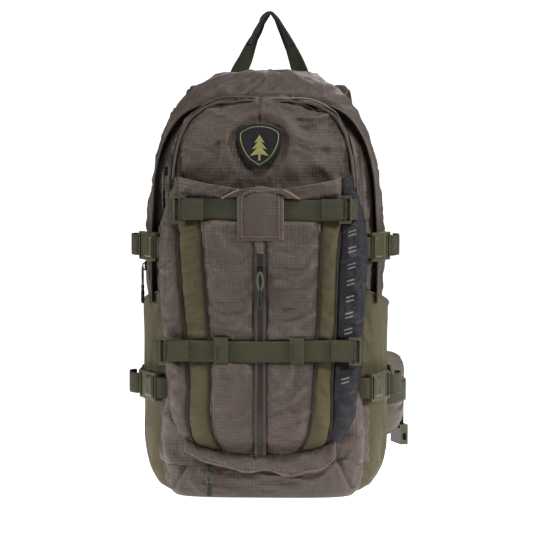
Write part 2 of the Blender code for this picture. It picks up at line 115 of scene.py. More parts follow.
def ripples(points, scale, seed, stretch=(1, 1, 1), waves=9):
    """Smooth noise from -1 to 1 over points, as a sum of slanted waves that bend each other."""
    rng = np.random.default_rng(seed)
    p = points / (np.array(stretch) * scale)
    bend = np.stack([np.sin(p @ rng.normal(size=3) * 1.7 + rng.uniform(0, 6.28)) for _ in range(3)], -1)
    p = p + 0.55 * bend
    total = np.zeros(points.shape[:-1])
    for _ in range(waves):
        total += np.sin(p @ (rng.normal(size=3) * 2.6) + rng.uniform(0, 6.28))
    return total / waves * 1.6


def folds(points, scale, seed, stretch=(1, 1, 1)):
    """Noise from 0 to 1 with soft ridges, like creased cloth."""
    a = ripples(points, scale, seed, stretch)
    b = ripples(points, scale * 0.55, seed + 50, stretch)
    return 0.68 * (1 - np.clip(np.abs(a), 0, 1)) ** 3 + 0.32 * (1 - np.clip(np.abs(b), 0, 1)) ** 2


def running(points):
    """Distance of each point along the line through them."""
    return np.concatenate([[0], np.cumsum(np.linalg.norm(np.diff(points, axis=0), axis=1))])


def evenly(rows, count, closed=False):
    """Each row's points moved to even spacing along it, or round it where it is closed."""
    made = np.empty((len(rows), count, 3))
    for r, row in enumerate(rows):
        if closed:
            row = np.concatenate([row, row[:1]])
        lengths = running(row)
        at = np.linspace(0, lengths[-1], count, endpoint=not closed)
        made[r] = np.stack([np.interp(at, lengths, row[:, k]) for k in range(3)], -1)
    return made


def mirrored(half):
    """A path on one side up to the middle, carried on down the other side."""
    return np.array(list(half) + [(-x, y, z) for x, y, z in half[-2::-1]])


def facing(points, out=FORWARD):
    """Points with an outward direction for each, as stitches takes them."""
    return points, np.tile(out, (len(points), 1))


# ---------------------------------------------------------------- materials

def new_material(name):
    """A material, its node tree and its shader."""
    made = bpy.data.materials.new(name)
    made.use_nodes = True
    tree = made.node_tree
    return made, tree, tree.nodes["Principled BSDF"]


class Nodes:
    """Short calls for wiring a node tree."""

    def __init__(self, tree):
        self.tree = tree

    def add(self, kind, **inputs):
        node = self.tree.nodes.new(kind)
        for name, value in inputs.items():
            self.plug(value, node.inputs[name.replace("_", " ")])
        return node

    def plug(self, value, socket):
        if isinstance(value, bpy.types.NodeSocket):
            self.tree.links.new(value, socket)
        else:
            socket.default_value = value

    def math(self, operation, a, b=0.0, c=0.0):
        node = self.tree.nodes.new("ShaderNodeMath")
        node.operation = operation
        for value, socket in zip((a, b, c), node.inputs):
            self.plug(value, socket)
        return node.outputs[0]

    def mix(self, share, a, b):
        node = self.tree.nodes.new("ShaderNodeMix")
        node.data_type = "RGBA"
        self.plug(share, node.inputs["Factor"])
        self.plug(a, node.inputs["A"])
        self.plug(b, node.inputs["B"])
        return node.outputs["Result"]

    def wave(self, value, pitch, kind="SINE"):
        return self.math(kind, self.math("MULTIPLY", value, TURN / pitch))

    def clamp(self, value):
        return self.math("MINIMUM", self.math("MAXIMUM", value, 0.0), 1.0)

    def worn(self, start, gain):
        """1 on sharp outward edges, 0 elsewhere."""
        point = self.add("ShaderNodeNewGeometry").outputs["Pointiness"]
        return self.clamp(self.math("MULTIPLY", self.math("SUBTRACT", point, start), gain))

    def noise(self, vector, scale, detail=3.0, roughness=0.5):
        node = self.add(
            "ShaderNodeTexNoise", Vector=vector, Scale=scale, Detail=detail, Roughness=roughness
        )
        return node.outputs["Fac"]

    def uv(self):
        node = self.tree.nodes.new("ShaderNodeUVMap")
        node.uv_map = "weave"
        return node.outputs["UV"]

    def place(self):
        return self.tree.nodes.new("ShaderNodeTexCoord").outputs["Object"]

    def split(self, vector):
        node = self.add("ShaderNodeSeparateXYZ", Vector=vector)
        return node.outputs

    def stripes(self, value, pitch, share):
        """1 on thin lines that repeat every pitch, with soft sides; share is a line's part of the pitch."""
        wave = self.math("DIVIDE", self.math("PINGPONG", value, pitch / 2), pitch * share)
        return self.math("MAXIMUM", self.math("SUBTRACT", 1.0, wave), 0.0)

    def bump(self, height, distance, strength=1.0, normal=None):
        node = self.add("ShaderNodeBump", Height=height, Distance=distance, Strength=strength)
        if normal is not None:
            self.tree.links.new(normal, node.inputs["Normal"])
        return node.outputs["Normal"]


def rgba(colour, gain=1.0):
    return (*[min(1.0, c * gain) for c in colour], 1)


def cloth_material(
    name, colour, grid=0.0042, grid_dark=0.55, roughness=0.45, weave=0.0007, sheen=0.04, wear=0.25
):
    """Woven nylon: a fine weave, an optional ripstop grid, uneven dye and worn folds."""
    made, tree, shader = new_material(name)
    n = Nodes(tree)
    uv, place = n.uv(), n.place()
    u, v, _ = n.split(uv)
    tone = n.noise(place, 22.0, 4.0)
    fine = n.noise(place, 320.0, 2.0)
    base = n.mix(tone, rgba(colour, 0.78), rgba(colour, 1.22))
    warp = n.wave(u, weave)
    weft = n.wave(v, weave)
    threads = n.math("MULTIPLY", warp, weft)
    base = n.mix(n.math("MULTIPLY", n.math("ADD", threads, 1.0), 0.1), base, rgba(colour, 0.45))
    height = n.math("ADD", n.math("MULTIPLY", threads, 0.25), n.math("MULTIPLY", fine, 0.5))
    if grid:
        lines = n.math("MAXIMUM", n.stripes(u, grid, 0.13), n.stripes(v, grid, 0.13))
        base = n.mix(n.math("MULTIPLY", lines, grid_dark), base, rgba(colour, 0.3))
        height = n.math("ADD", height, n.math("MULTIPLY", lines, 1.3))
    base = n.mix(n.math("MULTIPLY", n.worn(0.5, 9.0), wear), base, rgba(colour, 2.0))
    tree.links.new(base, shader.inputs["Base Color"])
    rough = n.math("ADD", roughness - 0.08, n.math("MULTIPLY", tone, 0.16))
    tree.links.new(rough, shader.inputs["Roughness"])
    ridge = n.math("ABSOLUTE", n.math("SUBTRACT", n.noise(place, 19.0, 3.0, 0.45), 0.5))
    ridge = n.math("POWER", n.math("SUBTRACT", 1.0, n.math("MULTIPLY", ridge, 4.0)), 2.0)
    soft = n.bump(n.noise(place, 48.0, 2.0), 0.0014, 0.3, n.bump(ridge, 0.004, 0.3))
    tree.links.new(n.bump(height, 0.00022, 0.8, soft), shader.inputs["Normal"])
    shader.inputs["Sheen Weight"].default_value = sheen
    shader.inputs["Sheen Roughness"].default_value = 0.4
    shader.inputs["Specular IOR Level"].default_value = 0.38
    return made


def webbing_material(name, colour):
    """Flat woven webbing: ribs along the strap, cross ridges, tight edges, and painted shade darkening the
    furrows between the ribs.
    """
    made, tree, shader = new_material(name)
    n = Nodes(tree)
    u, v, _ = n.split(n.uv())
    place = n.place()
    ribs = n.wave(u, 0.0021)
    cross = n.wave(v, 0.0011)
    twill = n.wave(n.math("ADD", u, v), 0.0014)
    weave = n.math("ADD", n.math("MULTIPLY", cross, 0.25), n.math("MULTIPLY", twill, 0.3))
    height = n.math("ADD", n.math("MULTIPLY", ribs, 0.55), weave)
    tone = n.noise(place, 45.0, 4.0)
    base = n.mix(tone, rgba(colour, 0.75), rgba(colour, 1.25))
    # Painted shade: the furrows between the ribs are darkened
    furrow_shade = n.math("MAXIMUM", n.math("MULTIPLY", ribs, -1.0), 0.0)
    base = n.mix(n.math("MULTIPLY", furrow_shade, 0.55), base, rgba(colour, 0.35))
    tree.links.new(base, shader.inputs["Base Color"])
    tree.links.new(n.bump(height, 0.00035, 0.9), shader.inputs["Normal"])
    shader.inputs["Roughness"].default_value = 0.62
    shader.inputs["Sheen Weight"].default_value = 0.03
    return made


def mesh_material(name, colour, pitch=0.0036):
    """Spacer mesh: round holes in staggered rows over foam, with painted shade darkening the holes."""
    made, tree, shader = new_material(name)
    n = Nodes(tree)
    u, v, _ = n.split(n.uv())
    dots = n.math("MULTIPLY", n.wave(u, pitch, "COSINE"), n.wave(v, pitch, "COSINE"))
    hole_shade_mask = n.clamp(n.math("MULTIPLY", n.math("SUBTRACT", dots, 0.25), 3.0))
    tone = n.noise(n.place(), 40.0, 3.0)
    base = n.mix(tone, rgba(colour, 0.8), rgba(colour, 1.3))
    # Painted shade: the holes are darkened
    base = n.mix(hole_shade_mask, base, rgba(colour, 0.25))
    tree.links.new(base, shader.inputs["Base Color"])
    tree.links.new(n.bump(n.math("SUBTRACT", 1.0, hole_shade_mask), 0.0006, 0.9), shader.inputs["Normal"])
    shader.inputs["Roughness"].default_value = 0.85
    shader.inputs["Sheen Weight"].default_value = 0.2
    return made


def plastic_material(name, colour, roughness=0.36, metallic=0.0, grain=700.0):
    """Moulded plastic or painted metal: fine grain, uneven gloss and brighter worn edges."""
    made, tree, shader = new_material(name)
    n = Nodes(tree)
    place = n.place()
    tone = n.noise(place, 90.0, 4.0)
    base = n.mix(tone, rgba(colour, 0.85), rgba(colour, 1.15))
    base = n.mix(n.math("MULTIPLY", n.worn(0.52, 7.0), 0.5), base, rgba(colour, 2.3))
    tree.links.new(base, shader.inputs["Base Color"])
    tree.links.new(
        n.math("ADD", roughness - 0.07, n.math("MULTIPLY", tone, 0.16)), shader.inputs["Roughness"]
    )
    tree.links.new(n.bump(n.noise(place, grain, 2.0), 0.00012, 0.6), shader.inputs["Normal"])
    shader.inputs["Metallic"].default_value = metallic
    return made


def zip_material(name, colour, tape_colour):
    """Zip tape with a coil down its middle: teeth every 1.6 mm along v."""
    made, tree, shader = new_material(name)
    n = Nodes(tree)
    u, v, _ = n.split(n.uv())
    middle = n.math("LESS_THAN", n.math("ABSOLUTE", u), 0.0022)
    teeth = n.math("MULTIPLY", n.stripes(v, 0.0016, 0.34), middle)
    ribs = n.wave(u, 0.0012)
    tape = n.math("MULTIPLY", ribs, n.math("SUBTRACT", 1.0, middle))
    base = n.mix(middle, rgba(tape_colour), rgba(colour))
    base = n.mix(teeth, base, rgba((0.045, 0.042, 0.04)))
    tree.links.new(base, shader.inputs["Base Color"])
    height = n.math("ADD", teeth, n.math("MULTIPLY", tape, 0.2))
    tree.links.new(n.bump(height, 0.0006, 0.9), shader.inputs["Normal"])
    shader.inputs["Roughness"].default_value = 0.5
    return made


BROWN = (0.103, 0.078, 0.065)
OLIVE = (0.084, 0.071, 0.036)
BLACK = (0.017, 0.015, 0.021)
MAT = {
    "ripstop": cloth_material("ripstop_cloth", BROWN),
    "side": cloth_material("side_cloth", (0.092, 0.071, 0.06), roughness=0.42),
    "lining": cloth_material("binding_cloth", (0.07, 0.056, 0.047), grid=0.0, roughness=0.6),
    "olive": cloth_material(
        "olive_stretch_cloth", OLIVE, grid=0.0, roughness=0.7, weave=0.0009, sheen=0.06
    ),
    "black": cloth_material("black_ripstop", BLACK, grid_dark=0.8, roughness=0.5, wear=0.2),
    "webbing": webbing_material("olive_webbing", (0.04, 0.037, 0.012)),
    "dark_webbing": webbing_material("dark_webbing", (0.016, 0.015, 0.016)),
    "mesh": mesh_material("spacer_mesh", (0.04, 0.038, 0.036)),
    "buckle": plastic_material("buckle_olive", (0.062, 0.06, 0.034)),
    "hook": plastic_material("hook_metal", (0.1, 0.098, 0.07), 0.28, 0.4),
    "zip": zip_material("zip_coil", (0.012, 0.011, 0.011), (0.034, 0.028, 0.025)),
    "pull": plastic_material("pull_rubber", (0.012, 0.012, 0.014), 0.42),
    "slider": plastic_material("slider_black", (0.03, 0.03, 0.032), 0.28, 0.6),
    "cord": webbing_material("olive_cord", (0.105, 0.11, 0.072)),
    "badge": plastic_material("badge_black", (0.014, 0.014, 0.017), 0.45),
    "badge_green": plastic_material("badge_green", (0.15, 0.145, 0.055), 0.5),
    "thread": plastic_material("thread_brown", (0.165, 0.125, 0.095), 0.6),
    # Dark thread for the stitch rows, also used for the painted shadow lines along the panel seams
    "dark_thread_and_seam_shade": plastic_material("dark_thread_and_seam_shade", (0.022, 0.018, 0.016), 0.6),
    "print": plastic_material("grey_print", (0.11, 0.102, 0.092), 0.4),
    "frame": plastic_material("frame_sheet_plastic", (0.05, 0.05, 0.055), 0.45),
}


# ---------------------------------------------------------------- mesh building

def finish_mesh(mesh, material, smooth=True):
    mesh.materials.clear()
    mesh.materials.append(MAT[material])
    if smooth:
        mesh.shade_smooth()


def add_piece(name, mesh, body, nodes=()):
    """A visible piece that rides a body and stands for the given CAD nodes."""
    piece = bpy.data.objects.new(name, mesh)
    bpy.context.scene.collection.objects.link(piece)
    if body:
        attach(piece, body)
    if nodes:
        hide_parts(*nodes)
    return piece


def span(points, axis):
    """Running length along an axis of a grid of points, averaged over the other."""
    steps = np.linalg.norm(np.diff(points, axis=axis), axis=-1).mean(axis=1 - axis)
    return np.concatenate([[0], np.cumsum(steps)])


def grid_mesh(name, points, material, around=False, caps=False, centred=False):
    """A mesh over points[row, column] with a weave map in metres; around joins last column to first."""
    rows, columns = points.shape[:2]
    verts = points.reshape(-1, 3)
    faces, uvs = [], []
    if around:
        closed = np.concatenate([points, points[:, :1]], axis=1)
        us = span(closed, 1)
    else:
        us = span(points, 1)
    vs = span(points, 0)
    if centred:
        us = us - us[-1] / 2
    last = columns if around else columns - 1
    for r in range(rows - 1):
        for c in range(last):
            d = (c + 1) % columns
            faces.append((r * columns + c, r * columns + d, (r + 1) * columns + d, (r + 1) * columns + c))
            uvs += [(us[c], vs[r]), (us[c + 1], vs[r]), (us[c + 1], vs[r + 1]), (us[c], vs[r + 1])]
    verts = [tuple(v) for v in verts]
    if caps:
        for row, flip in ((0, True), (rows - 1, False)):
            ring = [row * columns + c for c in range(columns)]
            faces.append(tuple(ring[::-1] if flip else ring))
            uvs += [(verts[i][0], verts[i][1]) for i in faces[-1]]
    mesh = bpy.data.meshes.new(name)
    mesh.from_pydata(verts, [], faces)
    layer = mesh.uv_layers.new(name="weave")
    layer.data.foreach_set("uv", np.array(uvs, np.float32).ravel())
    finish_mesh(mesh, material)
    return mesh


def normals_of(points, around=False):
    if around:
        along = np.roll(points, -1, 1) - np.roll(points, 1, 1)
    else:
        along = np.gradient(points, axis=1)
    up = np.gradient(points, axis=0)
    out = np.cross(along, up)
    return out / np.maximum(np.linalg.norm(out, axis=-1, keepdims=True), 1e-9)


def add_modifier(piece, kind, **settings):
    step = piece.modifiers.new(kind.lower(), kind)
    for key, value in settings.items():
        setattr(step, key, value)
    return step


def thicken(piece, thickness=CLOTH, offset=-1):
    add_modifier(piece, "SOLIDIFY", thickness=thickness, offset=offset)
    return piece


def settle(piece, pins, frames=22, extra=0.02, pressure=0.4, bending=0.6, gravity=0.3, limit=0.006):
    """Lets cloth crease between its pinned seams, then keeps it within limit of its start."""
    rest = np.array([v.co for v in piece.data.vertices])
    group = piece.vertex_groups.new(name="pins")
    for i, weight in enumerate(pins.ravel()):
        if weight > 0.01:
            group.add([i], float(weight), "REPLACE")
    step = piece.modifiers.new("cloth", "CLOTH")
    cloth = step.settings
    cloth.quality = 6
    cloth.mass = 0.15
    cloth.tension_stiffness = cloth.compression_stiffness = cloth.shear_stiffness = 25
    cloth.bending_stiffness = bending
    cloth.vertex_group_mass = "pins"
    cloth.pin_stiffness = 5
    cloth.shrink_min = -extra * 0.6
    cloth.use_pressure = True
    cloth.uniform_pressure_force = pressure
    cloth.effector_weights.gravity = gravity
    step.collision_settings.use_collision = False
    step.point_cache.frame_start = 1
    step.point_cache.frame_end = frames
    scene = bpy.context.scene
    for now in range(1, frames + 1):
        scene.frame_set(now)
    graph = bpy.context.evaluated_depsgraph_get()
    moved = np.array([v.co for v in piece.evaluated_get(graph).data.vertices])
    piece.modifiers.remove(step)
    piece.vertex_groups.clear()
    scene.frame_set(1)
    shift = moved - rest
    if not np.isfinite(shift).all():
        return piece
    far = np.linalg.norm(shift, axis=1, keepdims=True)
    shift *= limit * np.tanh(far / limit) / np.maximum(far, 1e-9)
    piece.data.vertices.foreach_set("co", (rest + shift).astype(np.float32).ravel())
    piece.data.update()
    return piece


def edge_weights(rows, columns, reach=2, around=False):
    """1 on a grid's border, falling to 0 within reach cells."""
    r = np.minimum(np.arange(rows), np.arange(rows)[::-1])[:, None]
    c = np.minimum(np.arange(columns), np.arange(columns)[::-1])[None, :]
    near = r + 0 * c if around else np.minimum(r, c)
    return np.clip(1 - near / reach, 0, 1)


def path_points(points, count):
    """count points evenly spaced on a smooth curve through the given ones."""
    points = np.array(points, float)
    lengths = running(points)
    return curve_at(np.column_stack([lengths, points]), np.linspace(0, lengths[-1], count))


def strap_mesh(name, path, across, width, thickness, material="webbing", count=40, wave=0.0003, seed=1):
    """Webbing along a smooth path, with rounded edges. across is one direction or one for each path point."""
    centre = path_points(path, count)
    side = np.array(across, float)
    if side.ndim == 1:
        side = np.repeat(side[None], count, 0)
    else:
        side = path_points(side, count) if len(side) == len(path) else side
    run = np.gradient(centre, axis=0)
    run /= np.linalg.norm(run, axis=1, keepdims=True)
    side = side - run * (side * run).sum(1, keepdims=True)
    side /= np.linalg.norm(side, axis=1, keepdims=True)
    face = np.cross(side, run)
    width = np.asarray(width, float)
    if width.ndim:
        width = np.interp(np.linspace(0, 1, count), np.linspace(0, 1, len(width)), width)
    half = (width / 2 * np.ones(count))[:, None]
    flat = np.linspace(-1, 1, 9)
    profile = (
        [(s * 0.985, 0.5) for s in flat] + [(1.0, 0.0)] + [(s * 0.985, -0.5) for s in flat[::-1]]
        + [(-1.0, 0.0)]
    )
    rng = np.random.default_rng(seed)
    lift = wave * np.sin(np.linspace(0, rng.uniform(5, 9), count) + rng.uniform(0, 6))[:, None]
    rings = np.stack(
        [centre + side * half * s + face * (thickness * t + lift * (1 - s * s)) for s, t in profile], 1
    )
    mesh = grid_mesh(name, rings, material, around=True, caps=True)
    outward(mesh)
    return mesh


def add_strap(name, body, path, across, width, thickness, count, wave=0.0, seed=1, nodes=()):
    mesh = strap_mesh(name, path, across, width, thickness, "webbing", count, wave, seed)
    return add_piece(name, mesh, body, nodes)


def add_tube(name, body, path, radius, material, count=60, sides=8):
    return add_piece(name, tube(name, path, radius, material, count, sides), body)


def outward(mesh):
    """Turns a mesh's faces to look out of it."""
    work = bmesh.new()
    work.from_mesh(mesh)
    bmesh.ops.recalc_face_normals(work, faces=work.faces)
    work.to_mesh(mesh)
    work.free()


def tube(name, path, radius, material, count=60, sides=8):
    """A round cord as a mesh, with closed ends."""
    centre = path_points(path, count)
    run = np.gradient(centre, axis=0)
    run /= np.linalg.norm(run, axis=1, keepdims=True)
    ref = np.array([0.31, 0.77, 0.55])
    a = np.cross(run, ref)
    a /= np.linalg.norm(a, axis=1, keepdims=True)
    b = np.cross(run, a)
    turns = np.linspace(0, 2 * math.pi, sides, endpoint=False)
    size = np.ones(count)
    size[0] = size[-1] = 0.45
    rings = np.stack(
        [centre + (a * math.cos(t) + b * math.sin(t)) * radius * size[:, None] for t in turns], 1
    )
    mesh = grid_mesh(name, rings, material, around=True, caps=True)
    outward(mesh)
    return mesh


def stitches(
    name, lines, body, material="thread", length=0.0026, gap=0.0012, lift=0.0003, thick=0.00035
):
    """Rows of thread along lines of (points, outward normals)."""
    verts, faces = [], []
    for points, outs in lines:
        points, outs = np.array(points, float), np.array(outs, float)
        lengths = running(points)
        at = 0.0
        while at + length < lengths[-1]:
            ends = []
            for s in (at, at + length / 2, at + length):
                p = np.array([np.interp(s, lengths, points[:, k]) for k in range(3)])
                n = np.array([np.interp(s, lengths, outs[:, k]) for k in range(3)])
                ends.append((p, n / np.linalg.norm(n)))
            run = ends[2][0] - ends[0][0]
            run /= np.linalg.norm(run)
            base = len(verts)
            for (p, n), high in zip(ends, (0.0, 1.0, 0.0)):
                side = np.cross(run, n)
                top = lift + thick * high
                verts += [
                    tuple(p + side * thick - n * 0.0002), tuple(p + n * (top + thick)),
                    tuple(p - side * thick - n * 0.0002)
                ]
            for k in (0, 3):
                for i in range(3):
                    j = (i + 1) % 3
                    faces.append((base + k + i, base + k + j, base + k + 3 + j, base + k + 3 + i))
            faces += [(base + 2, base + 1, base), (base + 6, base + 7, base + 8)]
            at += length + gap
    mesh = bpy.data.meshes.new(name)
    mesh.from_pydata(verts, [], faces)
    outward(mesh)
    finish_mesh(mesh, material)
    return add_piece(name, mesh, body)


# ---------------------------------------------------------------- the bag

def bag_ring(z, count):
    """Points round the bag at heights z, evenly by angle in each corner, from the middle of the front."""
    half, front, back = np.moveaxis(curve_at(BAG_TABLE, z), -1, 0)
    turn = np.linspace(-math.pi / 2, 1.5 * math.pi, count, endpoint=False)
    power = 2 / BAG_POWER
    cx, sy = np.cos(turn), np.sin(turn)
    x = half[:, None] * np.sign(cx) * np.abs(cx) ** power
    mid, deep = (front + back) / 2, (back - front) / 2
    y = mid[:, None] + deep[:, None] * np.sign(sy) * np.abs(sy) ** power
    return np.stack([x, y, np.broadcast_to(np.asarray(z)[:, None], x.shape)], -1)


def make_body():
    """The main compartment: one skin with its zip line pinched in and slack creases on its sides."""
    z = np.concatenate(
        [np.linspace(0, 0.03, 8), np.linspace(0.036, 0.44, 105), np.linspace(0.444, 0.4992, 24)]
    )
    points = evenly(bag_ring(z, 600), 600, closed=True)[:, ::4]
    normal = normals_of(points, True)
    zip_y = (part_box("main_zip")[0].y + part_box("main_zip")[1].y) / 2
    near_zip = np.exp(-((points[..., 1] - zip_y) / 0.0045) ** 2) * ease(0.215, 0.235, points[..., 2])
    seam_back = np.exp(-((points[..., 1] - (BACK - 0.008)) / 0.0025) ** 2)
    crease = folds(points, 0.06, 3, (1, 1, 2.2)) * 0.0056
    crease += folds(points, 0.022, 5, (1, 1, 1.8)) * 0.0018
    calm = 1 - np.clip(near_zip + seam_back, 0, 1) * 0.9
    rest_on = ease(0.0, 0.02, points[..., 2])
    under_pocket = ease(0.095, 0.115, np.abs(points[..., 0])) * (1 - ease(0.195, 0.225, points[..., 2]))
    under_pocket *= (
        ease(FRONT - 0.002, FRONT + 0.006, points[..., 1])
        * (1 - ease(BACK - 0.016, BACK - 0.006, points[..., 1]))
    )
    crease *= 1 - 0.85 * under_pocket
    shift = (
        (crease * calm - 0.003) * rest_on - 0.0018 * near_zip - 0.0012 * seam_back
        - 0.0012 * under_pocket * rest_on
    )
    points = points + normal * shift[..., None]
    points[..., 2] = np.maximum(points[..., 2], 0)
    mesh = grid_mesh("bag_body", points, "side", around=True, caps=True)
    piece = add_piece("bag_body", mesh, "bag", ("main_bag",))
    pins = np.clip(near_zip * 1.2 + seam_back + under_pocket, 0, 1)
    pins[:6] = 1
    pins[-2:] = 1
    settle(piece, pins, extra=0.02, pressure=0.6, limit=0.004)


def body_line(y, zs):
    """Points up the bag's right side at depth y."""
    line = []
    for z in zs:
        half, front, back = curve_at(BAG_TABLE, z)
        mid, deep = (front + back) / 2, (back - front) / 2
        share = min(0.9999, abs((y - mid) / deep))
        line.append((half * (1 - share**BAG_POWER) ** (1 / BAG_POWER), y, z))
    return line


def make_main_zip():
    """The zip from side to side over the top, in its shallow channel."""
    y = (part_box("main_zip")[0].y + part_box("main_zip")[1].y) / 2
    right = body_line(y, np.concatenate([np.linspace(0.226, 0.4, 14), np.linspace(0.41, 0.462, 9)]))
    top_z = right[-1][2]
    arch = right + [
        (x, y, top_z + 0.0045 * (1 - (x / right[-1][0]) ** 2)) for x in np.linspace(right[-1][0], 0, 8)[1:]
    ]
    path = mirrored(arch)
    run = np.gradient(path, axis=0)
    out = np.stack([-run[:, 2], 0 * run[:, 1], run[:, 0]], -1)
    out *= np.sign((out * (path - np.array([0, y, 0.25]))).sum(1, keepdims=True))
    out /= np.linalg.norm(out, axis=1, keepdims=True)
    path = path + out * 0.0004
    mesh = strap_mesh("main_zip_chain", path, (0, 1, 0), 0.0085, 0.0012, "zip", 160, 0.0)
    add_piece("main_zip_chain", mesh, "bag", ("main_zip",))
    for name, offset in (("rear", 0.0062), ("front", -0.0062)):
        shifted = path + np.array([0, offset, 0]) + out * 0.0004
        mesh = strap_mesh("zip_welt_" + name, shifted, (0, 1, 0), 0.0048, 0.0022, "lining", 160, 0.0)
        add_piece("zip_welt_" + name, mesh, "bag")


# ---------------------------------------------------------------- the front pocket

# Sections of the front pocket from its foot up: height, half width and front
POCKET_TABLE = np.array(
    [
        (0.04, 0.118, -0.072), (0.06, 0.1195, -0.0765), (0.095, 0.1185, -0.078), (0.13, 0.1145, -0.079),
        (0.2, 0.108, -0.079), (0.34, 0.1065, -0.079), (0.385, 0.1055, -0.0775), (0.41, 0.1015, -0.0725),
        (0.43, 0.0945, -0.0675), (0.448, 0.081, -0.0625), (0.457, 0.065, -0.059), (0.4615, 0.048, -0.057),
        (0.463, 0.033, -0.056)
    ]
)


def half_rings(table, z, back, power):
    """Half rings open to the back, from the left rear edge round the front to the right rear edge."""
    half, front = np.moveaxis(curve_at(table, z), -1, 0)
    turn = np.linspace(0, math.pi, 900)
    x = -half[:, None] * np.sign(np.cos(turn)) * np.abs(np.cos(turn)) ** (2 / power)
    y = back[:, None] + (front - back)[:, None] * np.sin(turn) ** (2 / power)
    return np.stack([x, y, np.broadcast_to(z[:, None], x.shape)], -1)


def make_front_pocket():
    """The rounded front pocket, its cloth held still under the badge."""
    z = np.concatenate([np.linspace(0.04, 0.4, 90), np.linspace(0.403, 0.463, 30)])
    back = FRONT + 0.012 + 0.03 * ease(0.42, 0.465, z)
    points = evenly(half_rings(POCKET_TABLE, z, back, POCKET_POWER), 120)
    top = points[-1]
    close = []
    for step in range(1, 5):
        share = step / 5
        row = top.copy()
        row[:, 1] = top[:, 1] * (1 - share) + (FRONT + 0.03) * share
        row[:, 2] = top[:, 2] + 0.004 * math.sin(share * math.pi / 2)
        close.append(row)
    points = np.concatenate([points, np.array(close)])
    normal = normals_of(points)
    edge = np.exp(-((np.abs(points[..., 0]) - curve_at(POCKET_TABLE, points[..., 2])[..., 0]) / 0.006) ** 2)
    edge *= points[..., 1] < POCKET_FRONT * 0.7
    crease = (
        folds(points, 0.055, 11, (2.0, 1, 0.9)) * 0.0066 + folds(points, 0.02, 13, (1.4, 1, 0.8)) * 0.002
    )
    puff = (
        0.0035 * np.clip(1 - (points[..., 0] / 0.1) ** 2, 0, 1) * ease(0.37, 0.39, points[..., 2])
        * (1 - ease(0.44, 0.46, points[..., 2]))
    )
    dart = np.exp(-((points[..., 0] + 0.004) / 0.0018) ** 2) * ease(0.436, 0.441, points[..., 2])
    badge_low, badge_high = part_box("badge")
    badge_at = (badge_low + badge_high) / 2
    spread = np.hypot(points[..., 0] - badge_at.x, points[..., 2] - badge_at.z) / 0.036
    under_badge = np.exp(-spread**6)
    crease = crease * (1 - under_badge)
    points = points + normal * (
        (crease - 0.001) * (1 - edge) + puff * (1 - under_badge) - 0.0022 * dart
    )[..., None]
    mesh = grid_mesh("front_pocket_cloth", points, "ripstop")
    piece = add_piece("front_pocket_cloth", mesh, "bag", ("front_pocket",))
    pins = np.clip(edge_weights(len(points), 120, 3) + edge * 0.9 + under_badge, 0, 1)
    settle(piece, pins, extra=0.03, pressure=0.3, limit=0.005)
    thicken(piece)
    make_pocket_trim()


def pocket_edge(zs, inset=0.0):
    """Points on the pocket's front edge up its right side."""
    half, front = np.moveaxis(curve_at(POCKET_TABLE, zs), -1, 0)
    return np.stack([half - 0.0015 - inset, front + 0.0035, zs], -1)


def make_pocket_trim():
    """The piping round the pocket's front edge and the zip behind it."""
    zs = np.concatenate([np.linspace(0.372, 0.42, 12), np.linspace(0.425, 0.4625, 14)])
    right = pocket_edge(zs)
    cross = [(x, right[-1][1] + 0.0005, right[-1][2] + 0.0008) for x in np.linspace(right[-1][0], 0, 6)[1:]]
    arch = list(right) + cross
    path = mirrored(arch)
    wobble = folds(path, 0.03, 21)[:, None] * np.array([0, 0, 0.0022])
    add_tube("pocket_piping", "bag", path + wobble - np.array([0, 0.0012, 0.0]), 0.0017, "lining", 150)
    hood = path + wobble * 2.6 + np.array([0, 0.0066, 0.0018])
    mesh = strap_mesh("pocket_zip_hood", hood[::3], (0, 1, 0), 0.0105, 0.0016, "ripstop", 150, 0.0009, 5)
    add_piece("pocket_zip_hood", mesh, "bag")
    low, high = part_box("front_zip")
    chain = [(high.x - 0.0008, (low.y + high.y) / 2 - 0.002, low.z)]
    chain += [(p[0] + 0.0032, p[1] + 0.0115, p[2] + 0.0012) for p in right]
    chain += [(x, y + 0.011, z + 0.0014) for x, y, z in cross]
    path = mirrored(chain)
    mesh = strap_mesh("front_zip_chain", path, (0, 1, 0), 0.0075, 0.0012, "zip", 150, 0.0)
    add_piece("front_zip_chain", mesh, "bag", ("front_zip",))


# ---------------------------------------------------------------- the strapped front panel

PANEL_EDGE_Y = -0.057
LOW_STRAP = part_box("lower_front_strap")
TOP_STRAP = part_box("top_front_strap")
LOW_STRAP_Z = (LOW_STRAP[0].z + LOW_STRAP[1].z) / 2
TOP_STRAP_Z = (TOP_STRAP[0].z + TOP_STRAP[1].z) / 2

# Seams from top to bottom: height and distance from the middle
OUTER_LEFT = [
    (0.385, -0.1), (0.325, -0.0985), (0.27, -0.0965), (0.2, -0.0905), (0.135, -0.086), (0.083, -0.085),
    (0.066, -0.079), (0.052, -0.064)
]
INNER_LEFT = [
    (0.385, -0.073), (0.325, -0.0715), (0.27, -0.0685), (0.2, -0.0635), (0.135, -0.061), (0.092, -0.061),
    (0.066, -0.054), (0.05, -0.043)
]
INNER_RIGHT = [
    (0.385, 0.069), (0.325, 0.068), (0.27, 0.0665), (0.2, 0.064), (0.135, 0.06), (0.092, 0.056),
    (0.066, 0.049), (0.05, 0.038)
]
OUTER_RIGHT = [
    (0.385, 0.092), (0.325, 0.091), (0.27, 0.087), (0.2, 0.085), (0.135, 0.081), (0.083, 0.079),
    (0.066, 0.074), (0.052, 0.06)
]
ZIP_LEFT, ZIP_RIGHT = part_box("centre_zip")[0].x + 0.0012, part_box("centre_zip")[1].x - 0.0012


